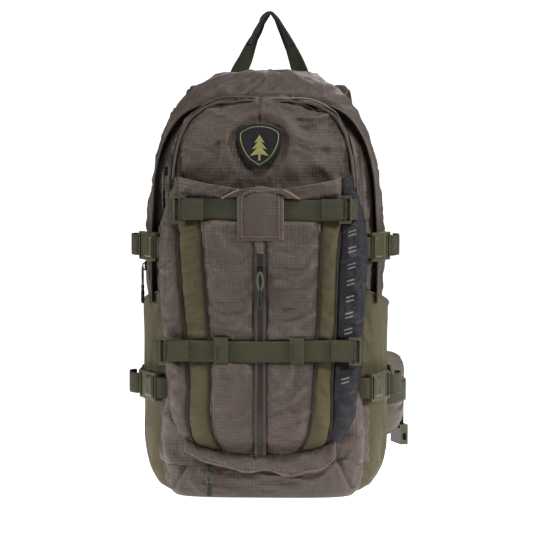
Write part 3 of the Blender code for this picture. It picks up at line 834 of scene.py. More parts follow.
def panel_depth(x, z):
    """The front panel's surface: flat in the middle, rounded back at its sides, drawn in under the straps."""
    half = curve_at(PANEL_TABLE, z)[..., 0]
    share = np.clip(np.abs(x) / half, 0, 0.9995)
    strap = np.exp(-((z - LOW_STRAP_Z) / 0.016) ** 2) + np.exp(-((z - TOP_STRAP_Z) / 0.016) ** 2)
    deep = PANEL_EDGE_Y - PANEL_FRONT + 0.0004
    round_side = (1 - share**PANEL_POWER) ** (1 / PANEL_POWER)
    middle = (1 - share**2.5) * np.clip(1 - strap, 0, 1)
    belly = 0.0075 * np.exp(-((z - 0.103) / 0.036) ** 2) * ease(0.045, 0.08, z)
    lean = 0.005 * ease(0.19, 0.31, z) - 0.003 * np.exp(-((z - 0.225) / 0.03) ** 2)
    foot = 0.01 * (1 - ease(0.048, 0.08, z))
    return PANEL_EDGE_Y - deep * round_side - middle * (belly + lean) + foot


def panel_top(x):
    """The panel's top edge, which dips to its middle."""
    return 0.3615 + 0.0165 * np.clip(np.abs(x) / 0.1, 0, 1) ** 1.4


def panel_bottom(x):
    """The panel's foot, level in its middle and climbing to its sides."""
    table = PANEL_TABLE[:6]
    return (
        np.interp(np.abs(x), table[:, 1], table[:, 0], left=0.055)
        - 0.0015 * (1 - np.clip(np.abs(x) / 0.05, 0, 1))
    )


def seam_at(seam, heights, outer):
    """How far right a seam is at each height, or the panel's rounded edge where outer is -1 or 1."""
    if outer:
        return outer * curve_at(PANEL_TABLE, heights)[:, 0]
    return line_at(seam, heights) if isinstance(seam, list) else np.full(len(heights), seam)


def panel_patch(
    name, left, right, z_low, z_high, material, columns, rows=150, seed=1, extra=0.02, creases=1.0, side=0
):
    """One cloth panel between two seams. side is -1 or 1 where its outer edge is the panel's rounded side."""
    z = np.linspace(z_low, z_high, rows)
    u = np.linspace(0, 1, columns)[None, :]
    if side > 0:
        u = np.sin(u * math.pi / 2) ** 0.8
    if side < 0:
        u = 1 - np.sin((1 - u) * math.pi / 2) ** 0.8
    a = seam_at(left, z, min(side, 0))[:, None]
    b = seam_at(right, z, max(side, 0))[:, None]
    x = a + (b - a) * u
    top, bottom = panel_top(x), panel_bottom(x)
    share = ((z - z[0]) / (z[-1] - z[0]))[:, None]
    foot = bottom if z_low < 0.06 else z_low
    zz = foot + (np.minimum(top, z_high) - foot) * share
    a = seam_at(left, zz[:, 0], min(side, 0))[:, None]
    b = seam_at(right, zz[:, -1], max(side, 0))[:, None]
    x = a + (b - a) * u
    points = np.stack([x, panel_depth(x, zz), zz], -1)
    normal = normals_of(points)
    from_left, from_right = np.abs(x - a), np.abs(b - x)
    seam = np.exp(-from_left / 0.0022) * (side >= 0) + np.exp(-from_right / 0.0022) * (side <= 0)
    calm = np.clip(np.minimum(from_left, from_right) / 0.012, 0, 1)
    crease = (
        folds(points, 0.045, seed, (1.6, 1, 0.7)) * 0.006
        + folds(points, 0.017, seed + 9, (1.3, 1, 0.8)) * 0.0014
    )
    held = np.exp(-((zz - LOW_STRAP_Z) / 0.015) ** 4) + np.exp(-((zz - TOP_STRAP_Z) / 0.015) ** 4)
    calm = calm * np.clip(1 - held, 0, 1)
    shift = (
        creases * crease * (0.15 + 0.85 * calm) - 0.0016 * np.clip(seam, 0, 1)
        - 0.0012 * np.clip(held, 0, 1)
    )
    points = points + normal * shift[..., None]
    mesh = grid_mesh(name, points, material)
    piece = add_piece(name, mesh, "bag")
    settle(
        piece, np.clip(edge_weights(rows, columns, 2) + held, 0, 1), extra=extra, pressure=0.25, limit=0.003
    )
    thicken(piece, 0.0014)
    return piece


def make_front_panel():
    """The strapped panel, sewn from strips of brown, olive and black cloth."""
    patches = [
        panel_patch(
            "outer_panel_left", OUTER_LEFT, OUTER_LEFT, 0.052, 0.385, "ripstop", 26, 150, 31, side=-1
        ),
        panel_patch("band_left", OUTER_LEFT, INNER_LEFT, 0.052, 0.3385, "olive", 16, 150, 37, creases=0.5),
        panel_patch("centre_panel_left", INNER_LEFT, ZIP_LEFT, 0.052, 0.3385, "ripstop", 34, 150, 41),
        panel_patch("centre_panel_right", ZIP_RIGHT, INNER_RIGHT, 0.052, 0.3385, "ripstop", 34, 150, 43),
        panel_patch(
            "centre_panel_top", ZIP_LEFT - 0.0015, ZIP_RIGHT + 0.0015, 0.289, 0.3385, "ripstop", 8, 30, 45
        ),
        panel_patch(
            "band_right", INNER_RIGHT, OUTER_RIGHT, 0.052, 0.3385, "olive", 14, 150, 47, creases=0.5
        ),
        panel_patch(
            "outer_panel_right", OUTER_RIGHT, OUTER_RIGHT, 0.052, 0.385, "black", 26, 150, 53, side=1
        ),
    ]
    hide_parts("front_panel")
    crown = panel_patch("panel_crown", -0.0995, 0.0915, 0.33, 0.386, "ripstop", 80, 26, 59, creases=0.9)
    crown.data.transform(Matrix.Translation((0, -0.0006, 0)))
    make_panel_zip()
    make_panel_stitching()
    make_print(patches[-1])


def panel_curve(pairs, z0, z1, shift=0.0):
    """A line of stitches up the panel beside a seam."""
    zs = np.linspace(z0, z1, 90)
    xs = line_at(pairs, zs) + shift
    return facing(np.stack([xs, panel_depth(xs, zs) - 0.0016, zs], -1))


def make_panel_stitching():
    """Painted shadow lines as dark tubes along the seams, rows of thread, and the piping beside the keeper
    flap.
    """
    lines = [panel_curve(INNER_LEFT, 0.056, 0.325, 0.003), panel_curve(INNER_RIGHT, 0.056, 0.325, -0.003)]
    lines += [panel_curve(OUTER_LEFT, 0.07, 0.32, -0.003)]
    for x in (ZIP_LEFT - 0.0028, ZIP_RIGHT + 0.0028):
        lines.append(panel_curve([(0.04, x), (0.2, x), (0.4, x)], 0.056, 0.29))
    stitches("panel_stitching", lines, "bag", "dark_thread_and_seam_shade")
    # Dark tubes in the seam valleys: painted shadow lines along the four panel seams
    for name, pairs in (
        ("outer_left", OUTER_LEFT), ("inner_left", INNER_LEFT), ("inner_right", INNER_RIGHT),
        ("outer_right", OUTER_RIGHT)
    ):
        points, _ = panel_curve(pairs, 0.056, 0.33)
        add_tube(
            "seam_" + name, "bag", points[::6] + np.array([0, 0.001, 0]), 0.0009, "dark_thread_and_seam_shade", 120, 6
        )
    low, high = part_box("keeper_flap")
    for name, side, x in (("left", -1, low.x), ("right", 1, high.x)):
        line = [(x + side * d, float(panel_depth(np.array(x + side * d), np.array(z))) - 0.0042, z)
                for d, z in ((-0.002, 0.363), (0.008, 0.3585), (0.018, 0.3525))]
        add_piece(
            "flap_piping_" + name, tube("flap_piping_" + name, line, 0.001, "thread", 20), "bag"
        )
    xs = np.linspace(-0.098, 0.09, 90)
    edge = np.stack([xs, panel_depth(xs, panel_top(xs) - 0.003) - 0.001, panel_top(xs) - 0.0028], -1)
    stitches("panel_top_stitching", [facing(edge)], "bag")


def make_panel_zip():
    """The upright zip, the welts beside it and the cloth garage over its head."""
    low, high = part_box("centre_zip")
    x = (low.x + high.x) / 2
    zs = np.linspace(low.z - 0.004, high.z, 60)
    path = np.stack([np.full(60, x), np.minimum(panel_depth(np.full(60, x), zs) + 0.0006, -0.093), zs], -1)
    mesh = strap_mesh("centre_zip_chain", path, (1, 0, 0), high.x - low.x - 0.0015, 0.0014, "zip", 140, 0.0)
    add_piece("centre_zip_chain", mesh, "bag", ("centre_zip",))
    for name, offset in (("left", -0.005), ("right", 0.005)):
        shifted = path + np.array([offset, -0.0009, 0])
        mesh = strap_mesh(
            "centre_welt_" + name, shifted, (1, 0, 0), 0.0038, 0.0016, "lining", 120, 0.0002, 4
        )
        add_piece("centre_welt_" + name, mesh, "bag")
    turn = np.linspace(0, math.pi, 14)
    rows = []
    for share in np.linspace(0, 1, 12):
        wide, deep = (
            0.0068 * math.sqrt(max(0.02, 1 - share**3)), 0.003 * math.sqrt(max(0.05, 1 - share**2.2))
        )
        rows.append(
            [
                (
                    x - wide * math.cos(t), PANEL_FRONT - 0.0008 - deep * math.sin(t),
                    high.z - 0.018 + 0.022 * share
                )
                for t in turn
            ]
        )
    mesh = grid_mesh("zip_garage", np.array(rows), "ripstop")
    thicken(add_piece("zip_garage", mesh, "bag"), 0.001)


def make_print(strip):
    """Reflective marks down the black strip: pairs of slanted bars."""
    mark = 0
    for z0 in np.arange(0.315, 0.14, -0.019):
        if abs(z0 - LOW_STRAP_Z) < 0.022:
            continue
        x0 = (line_at(OUTER_RIGHT, z0) + curve_at(PANEL_TABLE, z0)[0]) / 2 - 0.0015
        for step in (0.0, -0.0046):
            across, up = np.meshgrid(np.linspace(-0.0045, 0.0045, 9), np.linspace(-0.001, 0.001, 3))
            z = z0 + step + up + across * 0.25
            points = np.stack([x0 + across, np.full_like(z, PANEL_FRONT - 0.02), z], -1)
            piece = add_piece(
                f"strip_mark_{mark}", grid_mesh("strip_mark", points, "print"), "bag"
            )
            add_modifier(
                piece, "SHRINKWRAP", target=strip, wrap_method="PROJECT", use_project_y=True, offset=0.0003,
                use_negative_direction=True, use_positive_direction=True
            )
            thicken(piece, 0.0004, 0)
            mark += 1


# ---------------------------------------------------------------- base, lip and side pockets

def make_base():
    """The base pocket with its two corner darts, its zip and the lip over it."""
    table = np.array([(0.0, 0.105, -0.074), (0.004, 0.11, -0.08), (0.012, 0.1135, -0.085),
                      (0.028, 0.117, -0.0875), (0.04, 0.1185, -0.084), (0.052, 0.119, -0.077)])
    z = np.linspace(0, 0.052, 34)
    back = FRONT + 0.01
    points = evenly(half_rings(table, z, np.full(len(z), back), BASE_POWER), 130)
    floor = points[0].copy()
    inner = []
    for share in (0.85, 0.5, 0.15):
        row = floor.copy()
        row[:, 1] = back + (floor[:, 1] - back) * share
        inner.append(row)
    points = np.concatenate([np.array(inner[::-1]), points])
    normal = normals_of(points)
    lift = ease(0.0, 0.012, points[..., 2])
    crease = folds(points, 0.034, 61, (2.2, 1, 0.9)) * 0.004 + folds(points, 0.014, 63) * 0.0012
    dart = sum(
        np.exp(-((points[..., 0] - s * (0.088 + 0.5 * (0.045 - points[..., 2]))) / 0.0024) ** 2)
        for s in (-1, 1)
    )
    points = points + normal * (lift * (crease - 0.0022 - 0.0034 * dart))[..., None]
    points[..., 2] = np.maximum(points[..., 2], 0.0)
    mesh = grid_mesh("base_pocket_cloth", points, "ripstop")
    piece = add_piece("base_pocket_cloth", mesh, "bag", ("base_pocket",))
    pins = np.clip(edge_weights(len(points), 130, 3) + dart * 0.8, 0, 1)
    pins[:6] = 1
    settle(piece, pins, extra=0.035, pressure=0.3, limit=0.004)
    thicken(piece)
    make_lip()
    chain = [
        (x, -0.0875 + 0.01 * (abs(x) / 0.1) ** 4, 0.0365 + 0.016 * (abs(x) / 0.09) ** 2)
        for x in np.linspace(-0.08, 0.08, 20)
    ]
    mesh = strap_mesh("base_zip_chain", chain, (0, 0, 1), 0.007, 0.0012, "zip", 100, 0.0)
    add_piece("base_zip_chain", mesh, "bag")


def make_lip():
    """The storm lip that folds over the base pocket's zip, standing off at its lower edge."""
    columns, rows = 110, 20
    x = np.linspace(-0.091, 0.085, columns)
    top = line_at(
        [
            (-0.092, 0.073), (-0.07, 0.0625), (-0.04, 0.0565), (0.0, 0.055), (0.04, 0.0565),
            (0.066, 0.0625), (0.087, 0.073)
        ],
        x
    )
    low = line_at(
        [
            (-0.092, 0.056), (-0.075, 0.05), (-0.062, 0.046), (-0.048, 0.04), (-0.03, 0.0365), (0.0, 0.035),
            (0.05, 0.032), (0.07, 0.038), (0.087, 0.054)
        ],
        x
    )
    low = low + 0.0018 * np.sin(x * 130 + 0.8)
    share = np.linspace(0, 1, rows)[:, None]
    z = top + (low - top) * share
    reach = 1 - (np.abs(x + 0.003) / 0.098) ** 5
    y = -0.086 - (0.0155 * np.sin(np.clip(share * 1.15, 0, 1) * math.pi / 2)) * reach
    points = np.stack([np.broadcast_to(x, z.shape), y, z], -1)
    normal = -normals_of(points)
    crease = (
        folds(points, 0.03, 71, (1.0, 1, 2.2)) * 0.0034 * np.sin(share * math.pi * 0.9)
        + folds(points, 0.012, 73) * 0.0008
    )
    points = (points + normal * crease[..., None])[::-1]
    mesh = grid_mesh("base_lip", points, "ripstop")
    piece = add_piece("base_lip", mesh, "bag")
    settle(piece, edge_weights(rows, columns, 2), extra=0.04, pressure=0.2, limit=0.003)
    thicken(piece, 0.002)
    stitches(
        "lip_stitching", [facing(points[1] + np.array([0, -0.0006, 0.0012]), (0.0, -1.0, 0.2))], "bag",
    )


def make_side_pocket(name, side):
    """A stretch pocket over the bag's lower side, tight at its foot, with a bound mouth that stands open."""
    columns, rows = 70, 90
    y0, y1 = FRONT + 0.004, BACK - 0.006
    share = np.linspace(0, 1, columns)[None, :]
    up = np.linspace(0, 1, rows)[:, None]
    mouth = 0.243 - 0.034 * share**0.8
    z = 0.004 + (mouth - 0.004) * up
    half, front, back = np.moveaxis(curve_at(BAG_TABLE, z), -1, 0)
    mid, deep = (front + back) / 2, (back - front) / 2
    y = y0 + (y1 - y0) * share
    y = np.clip(y, front + 0.0004, back - 0.0004)
    ratio = np.clip(np.abs((y - mid) / deep), 0, 0.9999)
    x = half * (1 - ratio**BAG_POWER) ** (1 / BAG_POWER)
    points = np.stack([x, y, z], -1)
    normal = normals_of(points)
    normal *= np.sign(normal[..., :1])
    room = ease(0.16, 0.52, share) * np.clip((1 - share) / 0.16, 0, 1) ** 0.7
    stand = (
        0.0014 + 0.0026 * (1 - ease(0.3, 0.44, up)) + 0.0044 * room * ease(0.0, 0.25, up)
        + 0.0016 * room * ease(0.8, 1.0, up)
    )
    crease = folds(points, 0.05, 81 + side, (1, 1, 2.8)) * 0.0022 * np.clip(room, 0.1, 1)
    points = points + normal * (stand + crease)[..., None]
    points[..., 0] = np.minimum(points[..., 0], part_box("side_pocket_right")[1].x + 0.0012)
    points[..., 0] *= side
    if side < 0:
        points = points[:, ::-1]
    mesh = grid_mesh(name + "_cloth", points, "olive")
    piece = add_piece(name + "_cloth", mesh, "bag", (name,))
    settle(piece, edge_weights(rows, columns, 2), extra=0.015, pressure=0.15, limit=0.0025)
    thicken(piece, 0.0014)
    rim = points[-1] + np.array([side * 0.0004, 0, 0])
    add_tube(name + "_binding", "bag", rim[2:-2:4], 0.0016, "lining", 80)


# ---------------------------------------------------------------- straps, hooks, flap, handle

def make_front_straps():
    """Two straps across the front, looped through hooks at their ends, and the lower one's keepers."""
    for name, box, seeds in (("top", TOP_STRAP, 3), ("lower", LOW_STRAP, 5)):
        low, high = box
        y = (low.y + high.y) / 2
        z = (low.z + high.z) / 2
        xs = np.linspace(low.x - 0.006, high.x + 0.006, 9)
        edge = np.clip((np.abs(xs - (low.x + high.x) / 2) - 0.085) / 0.02, 0, 1)
        path = [(x, y + 0.0014 * e, z + 0.0012 * math.sin(x * 22 + seeds)) for x, e in zip(xs, edge)]
        add_strap(
            name + "_strap", "bag", path, (0, 0, 1), high.z - low.z, 0.0017, 90, 0.0004, seeds,
            nodes=(name + "_front_strap",)
        )
        for side, x in (("left", low.x), ("right", high.x)):
            s = -1 if side == "left" else 1
            loop_x = x + s * 0.0075
            outer = x + s * 0.021
            path = [
                (outer, y + 0.011, z), (outer - s * 0.005, y + 0.003, z), (loop_x, y + 0.0002, z),
                (x - s * 0.004, y - 0.0026, z), (x - s * 0.02, y - 0.0024, z)
            ]
            add_strap(
                f"{name}_wrap_{side}", "bag", path, (0, 0, 1), WEBBING_WIDTH, 0.0016, 36, 0.0003, seeds + 7
            )
    low, high = LOW_STRAP
    for side, x in (("left", -0.048), ("right", 0.04)):
        y = low.y - 0.0004
        ring = [
            (x, y + 0.0045, low.z - 0.002), (x, y + 0.001, low.z - 0.0026), (x, y - 0.0012, low.z + 0.003),
            (x, y - 0.0014, (low.z + high.z) / 2), (x, y - 0.0012, high.z - 0.003),
            (x, y + 0.001, high.z + 0.0026), (x, y + 0.0045, high.z + 0.002)
        ]
        add_strap("strap_keeper_" + side, "bag", ring, (1, 0, 0), 0.0165, 0.0015, 40, 0.0, 3)
        line = np.array(
            [(x - 0.004, y - 0.0022, zz) for zz in np.linspace(low.z + 0.002, high.z - 0.002, 20)]
        )
        stitches("keeper_stitch_" + side, [facing(line)], "bag", "dark_thread_and_seam_shade")


def make_flap():
    """The hook-and-loop keeper over the top strap, bent down from its sewn edge."""
    low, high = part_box("keeper_flap")
    share = np.linspace(0, 1, 40)[:, None]
    across = np.linspace(-1, 1, 30)[None, :]
    x = (low.x + high.x) / 2 + (high.x - low.x) / 2 * across * (1 - 0.1 * ease(0.8, 1.0, share))
    peak = 0.0045 * (1 - np.abs(across)) * ease(0.8, 1.0, share)
    z = low.z + (high.z - low.z - 0.002) * share + peak
    y = high.y - 0.0014 + 0.0052 * ease(0.86, 1.0, share) + 0.0016 * across**2 - 0.0012 * (1 - share)
    points = np.stack(np.broadcast_arrays(x, y, z), -1)
    points[..., 1] -= folds(points, 0.028, 91) * 0.0012
    mesh = grid_mesh("keeper_flap_cloth", points, "ripstop")
    piece = add_piece("keeper_flap_cloth", mesh, "flap", ("keeper_flap",))
    thicken(piece, 0.0022)
    sides = [points[2:-2, 3], points[2:-2, -4], points[3, 3:-3]]
    lines = [facing(line + np.array([0, -0.0004, 0])) for line in sides]
    stitches("flap_stitching", lines, "flap")


def make_handle():
    """Webbing legs that twist into a doubled grip with a dark sleeve."""
    low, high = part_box("carry_handle")
    y = (low.y + high.y) / 2
    legs = [
        (low.x + 0.0085, low.z, 10), (-0.036, low.z + 0.014, 30), (-0.0265, 0.516, 62), (-0.02, 0.532, 82),
        (-0.0095, 0.553, 72)
    ]
    legs += [
        (-0.002, high.z - 0.0065, 84), (0.0035, high.z - 0.0022, 90), (0.0085, high.z - 0.0065, 98),
        (0.0165, 0.553, 112)
    ]
    legs += [(0.0285, 0.529, 124), (0.04, low.z + 0.018, 150), (high.x - 0.0085, low.z, 172)]
    path = [(x, y, z) for x, z, _ in legs]
    across = [(math.cos(math.radians(t)), math.sin(math.radians(t)), 0) for _, _, t in legs]
    add_strap("handle_webbing", "handle", path, across, 0.0215, 0.0026, 110, nodes=("carry_handle",))
    mesh = strap_mesh("handle_sleeve", path[3:10], across[3:10], 0.0218, 0.0036, "dark_webbing", 80, 0.0)
    add_piece("handle_sleeve", mesh, "handle")


# ---------------------------------------------------------------- side straps and buckles

def make_side_strap(name, side, z):
    """Webbing of one compression strap: its front stub, and the rear strap with its folded tail."""
    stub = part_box("strap_stub_" + name)
    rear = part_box("strap_rear_" + name)
    x_in = min(abs(stub[0].x), abs(stub[1].x))
    x_end = max(abs(stub[0].x), abs(stub[1].x))
    outer = max(abs(rear[0].x), abs(rear[1].x))
    run_x = 0.143 if "upper" in name else 0.151
    bar = (x_end + 0.001, stub[1].y - 0.0016)
    path = [
        (x_in - 0.004, stub[0].y + 0.004), (x_in + 0.006, stub[0].y + 0.003), bar,
        (bar[0] + 0.002, bar[1] + 0.0045)
    ]
    path = [(side * x, y, z) for x, y in path]
    add_strap(
        "stub_" + name, "bag", path, (0, 0, 1), WEBBING_WIDTH, 0.0018, 30, nodes=("strap_stub_" + name,)
    )

    seam = (side * (run_x - 0.0025), rear[1].y - 0.001, z)
    run = [
        seam, (side * run_x, 0.058, z), (side * run_x, 0.03, z), (side * (run_x + 0.0006), 0.004, z),
        (side * 0.1496, -0.015, z), (side * 0.147, -0.0245, z)
    ]
    piece = add_strap(
        "rear_" + name, None, run, (0, 0, 1), WEBBING_WIDTH, 0.0017, 70, 0.0004, 5,
        nodes=("strap_rear_" + name,)
    )
    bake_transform(piece)
    tail = [
        (0.1475, -0.0262), (0.152, -0.0258), (outer - 0.0035, -0.018), (outer - 0.0008, -0.004),
        (outer - 0.0022, 0.0085), (outer - 0.0055, 0.011), (outer - 0.007, 0.008)
    ]
    tail = [(side * x, y, z) for x, y in tail]
    add_strap("tail_" + name, "male_" + name, tail, (0, 0, 1), WEBBING_WIDTH, 0.0017, 60, 0.0003, 8)


def round_edges(piece, width=0.0009, segments=2, angle=35):
    add_modifier(piece, "WELD", merge_threshold=0.00002)
    add_modifier(
        piece, "BEVEL", width=width, segments=segments, limit_method="ANGLE",
        angle_limit=math.radians(angle), use_clamp_overlap=True
    )
    piece.data.shade_smooth()
    add_modifier(piece, "WEIGHTED_NORMAL", keep_sharp=True)


def dress_cad_nodes():
    """Moulded and metal CAD nodes stay, with rounded edges and a finished material."""
    looks = {
        "buckle_": ("buckle", 0.0011), "hip_female": ("buckle", 0.0011), "hip_male": ("buckle", 0.0008),
        "sternum_female": ("buckle", 0.0009), "sternum_male": ("buckle", 0.0007),
        "ladder_lock": ("buckle", 0.0009), "top_hook": ("hook", 0.0008), "lower_hook": ("hook", 0.0008),
        "frame_sheet": ("frame", 0.0005)
    }
    for node, piece in frame["nodes"].items():
        for start, (material, width) in looks.items():
            if node.startswith(start):
                if "male" in node and "female" not in node:
                    width = min(width, 0.0006)
                piece.data.materials.clear()
                piece.data.materials.append(MAT[material])
                round_edges(piece, width)


def make_buckle_faces():
    """Raised plates and grip ribs on the outer face of each side buckle."""
    for name in ("upper_left", "upper_right", "lower_left", "lower_right"):
        side = -1 if "left" in name else 1
        low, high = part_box("buckle_female_" + name)
        z = (low.z + high.z) / 2
        along = Vector((side * 0.53, 0.848, 0)).normalized()
        out = Vector((side * 0.848, -0.53, 0)).normalized()
        mouth = Vector((side * 0.137, -0.041, z))
        rows = []
        for v in np.linspace(-1, 1, 15):
            row = []
            for u in np.linspace(0, 1, 15):
                edge = min(1, min(u, 1 - u) / 0.12) * min(1, (1 - abs(v)) / 0.1)
                dip = 0.0005 * math.exp(-((u - 0.45) / 0.16) ** 2) * math.exp(-(v / 0.45) ** 2)
                point = (
                    mouth + along * (-0.0185 + 0.0155 * u) + out * (0.0048 + 0.0011 * edge**0.5 - dip)
                    + Vector((0, 0, 0.0122 * v))
                )
                row.append(tuple(point))
            rows.append(row)
        mesh = grid_mesh("buckle_plate_" + name, np.array(rows), "buckle")
        thicken(add_piece("buckle_plate_" + name, mesh, "bag"), 0.0008)


# ---------------------------------------------------------------- badge

def extruded(name, outline, y0, y1, matrix, material, body, nodes=(), bevel=0.0005):
    count = len(outline)
    verts = [(x, y, z) for y in (y0, y1) for x, z in outline]
    faces = [list(range(count)), list(range(2 * count - 1, count - 1, -1))]
    faces += [[i, (i + 1) % count, count + (i + 1) % count, count + i] for i in range(count)]
    mesh = bpy.data.meshes.new(name)
    mesh.from_pydata(verts, [], faces)
    outward(mesh)
    mesh.transform(matrix)
    finish_mesh(mesh, material, False)
    piece = add_piece(name, mesh, body, nodes)
    if bevel:
        add_modifier(piece, "BEVEL", width=bevel, segments=2, limit_method="ANGLE")
    return piece


def shield(scale, samples=8):
    """A shield outline with bowed sides and a peaked top."""
    right = [
        (0.0, 0.027), (0.009, 0.0262), (0.018, 0.0232), (0.0258, 0.0172), (0.0262, 0.011), (0.024, 0.001),
        (0.02, -0.008), (0.013, -0.018), (0.0, -0.027)
    ]
    points = path_points([(x, 0, z) for x, z in right], samples * 4)
    right = [(p[0] * scale, p[2] * scale) for p in points]
    return right + [(-x, z) for x, z in right[-2:0:-1]]


def make_badge():
    """A rubber shield with a raised rim and a pine tree of three stacked triangles."""
    low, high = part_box("badge")
    centre = (low + high) / 2
    slope = math.atan2(0.0052, 0.021)
    place = Matrix.Translation((centre.x, centre.y - 0.0024, centre.z)) @ Matrix.Rotation(-slope, 4, "X")
    extruded(
        "badge_plate", shield(1.0), -0.0014, 0.003, place, "badge", "bag", ("badge",),
        0.0006
    )
    ring = shield(0.84)
    path = [place @ Vector((x, -0.0015, z)) for x, z in ring + ring[:1]]
    add_tube("badge_rim", "bag", path, 0.00065, "badge_green", 120, 6)
    for k, (half, top, foot) in enumerate(
        ((0.0062, 0.013, 0.003), (0.0088, 0.007, -0.0045), (0.0112, 0.0005, -0.0125))
    ):
        outline = [
            (0, top), (half, foot), (half * 0.35, foot + 0.0018), (-half * 0.35, foot + 0.0018),
            (-half, foot)
        ]
        extruded(
            f"badge_tree_{k}", outline[::-1], -0.0021 - 0.0001 * k, -0.0012, place, "badge_green", "bag",
            (), 0
        )
    extruded(
        "badge_trunk", [(-0.0013, -0.0108), (0.0013, -0.0108), (0.0013, -0.0175), (-0.0013, -0.0175)][::-1],
        -0.002, -0.0012, place, "badge_green", "bag", (), 0
    )


# ---------------------------------------------------------------- zip sliders and pulls

def make_pull(name, out, length):
    """A metal slider, a loop of cord through it and a moulded grip on the cord's knot."""
    out = Vector(out)
    slide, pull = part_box(name + "_slider"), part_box(name + "_pull")
    top = (slide[0] + slide[1]) / 2
    hang = (pull[0] + pull[1]) / 2
    across = Vector((0, 0, 1)).cross(out)
    basis = Matrix((across, out, Vector((0, 0, 1)))).transposed().to_4x4()
    body = [
        (-0.0042, 0.006), (0.0042, 0.006), (0.0034, -0.0002), (0.0026, -0.0052), (-0.0026, -0.0052),
        (-0.0034, -0.0002)
    ]
    place = Matrix.Translation(top) @ basis
    extruded(
        name + "_slider_body", body, -0.0013, 0.0013, place, "slider", name + "_slider",
        (name + "_slider",), 0.0007
    )
    bridge = [
        place @ Vector((0, y, z)) for y,
        z in ((0.001, 0.0042), (0.003, 0.003), (0.0034, 0.0), (0.003, -0.003), (0.001, -0.004))
    ]
    add_tube(name + "_slider_bridge", name + "_slider", bridge, 0.0008, "slider", 24, 8)

    top_z = pull[1].z - 0.0012
    hook = Vector((hang.x, hang.y, top_z))
    grip_top = pull[1].z - length * 0.5
    for k, s in enumerate((-1, 1)):
        cord = [
            hook + across * s * 0.0002, hook + across * s * 0.002 + Vector((0, 0, -0.004)),
            Vector((hang.x, hang.y, top_z - length * 0.28)) + across * s * (0.003 + 0.0006 * k),
            Vector((hang.x, hang.y, grip_top - 0.001)) + across * s * 0.0011
        ]
        piece = add_tube(f"{name}_cord_{k}", name + "_pull", cord, 0.0013, "cord", 30, 8)
    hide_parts(name + "_pull")
    rings = []
    foot = pull[0].z
    shape = [
        (0.0, 0.0016, 0.0014), (0.06, 0.0026, 0.002), (0.18, 0.0028, 0.0021), (0.26, 0.002, 0.0016),
        (0.36, 0.003, 0.0022), (0.52, 0.0034, 0.0023), (0.6, 0.0028, 0.002), (0.68, 0.0035, 0.0023),
        (0.84, 0.0036, 0.0023), (0.95, 0.003, 0.0019), (1.0, 0.0014, 0.0009)
    ]
    turns = np.linspace(0, 2 * math.pi, 14, endpoint=False)
    for share, wide, deep in shape:
        z = grip_top + (foot - grip_top) * share
        rings.append(
            [
                tuple(Vector((hang.x, hang.y, z)) + across * wide * math.cos(t) + out * deep * math.sin(t))
                for t in turns
            ]
        )
    mesh = grid_mesh(name + "_grip", np.array(rings), "pull", around=True, caps=True)
    outward(mesh)
    piece = add_piece(name + "_grip", mesh, name + "_pull")
    add_modifier(piece, "SUBSURF", levels=1, render_levels=1)


# ---------------------------------------------------------------- back, harness and hip belt

def pad_mesh(name, path, across, widths, thickness, material, count=90, columns=26, channels=0, seed=1):
    """A foam pad along a path: crowned faces, thin bound sides, and optional sewn channels along it."""
    centre = path_points(path, count)
    side = np.repeat(np.array(across, float)[None], count, 0)
    run = np.gradient(centre, axis=0)
    run /= np.linalg.norm(run, axis=1, keepdims=True)
    side -= run * (side * run).sum(1, keepdims=True)
    side /= np.linalg.norm(side, axis=1, keepdims=True)
    face = np.cross(side, run)
    half = line_at(list(zip(np.linspace(0, 1, len(widths)), widths)), np.linspace(0, 1, count)) / 2
    u = np.linspace(-1, 1, columns)
    crown = np.clip(1 - np.abs(u) ** 3.2, 0, 1) ** 0.6
    ends = np.clip(np.minimum(np.arange(count), np.arange(count)[::-1]) / 4.0, 0.25, 1) ** 0.5
    groove = np.ones((count, columns))
    if channels:
        groove = 1 - 0.35 * np.exp(-((np.abs(u) - 0.42) / 0.07) ** 2)[None, :] * np.ones((count, 1))
    top = (0.16 + 0.84 * crown)[None, :] * groove * ends[:, None] * thickness / 2
    outer = (
        centre[:, None] + side[:, None] * (half[:, None] * u)[..., None] + face[:, None] * top[..., None]
    )
    inner = (
        centre[:, None] + side[:, None] * (half[:, None] * u)[..., None] - face[:, None] * top[..., None]
    )
    rings = np.concatenate([outer, inner[:, ::-1]], axis=1)
    normal = normals_of(rings, True)
    rings = rings + normal * ((folds(rings, 0.03, seed) - 0.4) * 0.0011)[..., None]
    mesh = grid_mesh(name, rings, material, around=True, caps=True)
    outward(mesh)
    edges = [centre + side * (half[:, None] * s) for s in (-1, 1)]
    return mesh, edges, face


PAD_PATH = [
    (0.062, 0.0925, 0.459), (0.064, 0.095, 0.47), (0.067, 0.1015, 0.4765), (0.07, 0.1085, 0.4705),
    (0.073, 0.1125, 0.45), (0.076, 0.113, 0.4), (0.077, 0.1125, 0.34), (0.077, 0.109, 0.27),
    (0.078, 0.1045, 0.21), (0.078, 0.1, 0.166)
]
PAD_WIDTHS = (0.056, 0.06, 0.062, 0.062, 0.062, 0.062, 0.06, 0.058, 0.054, 0.04)


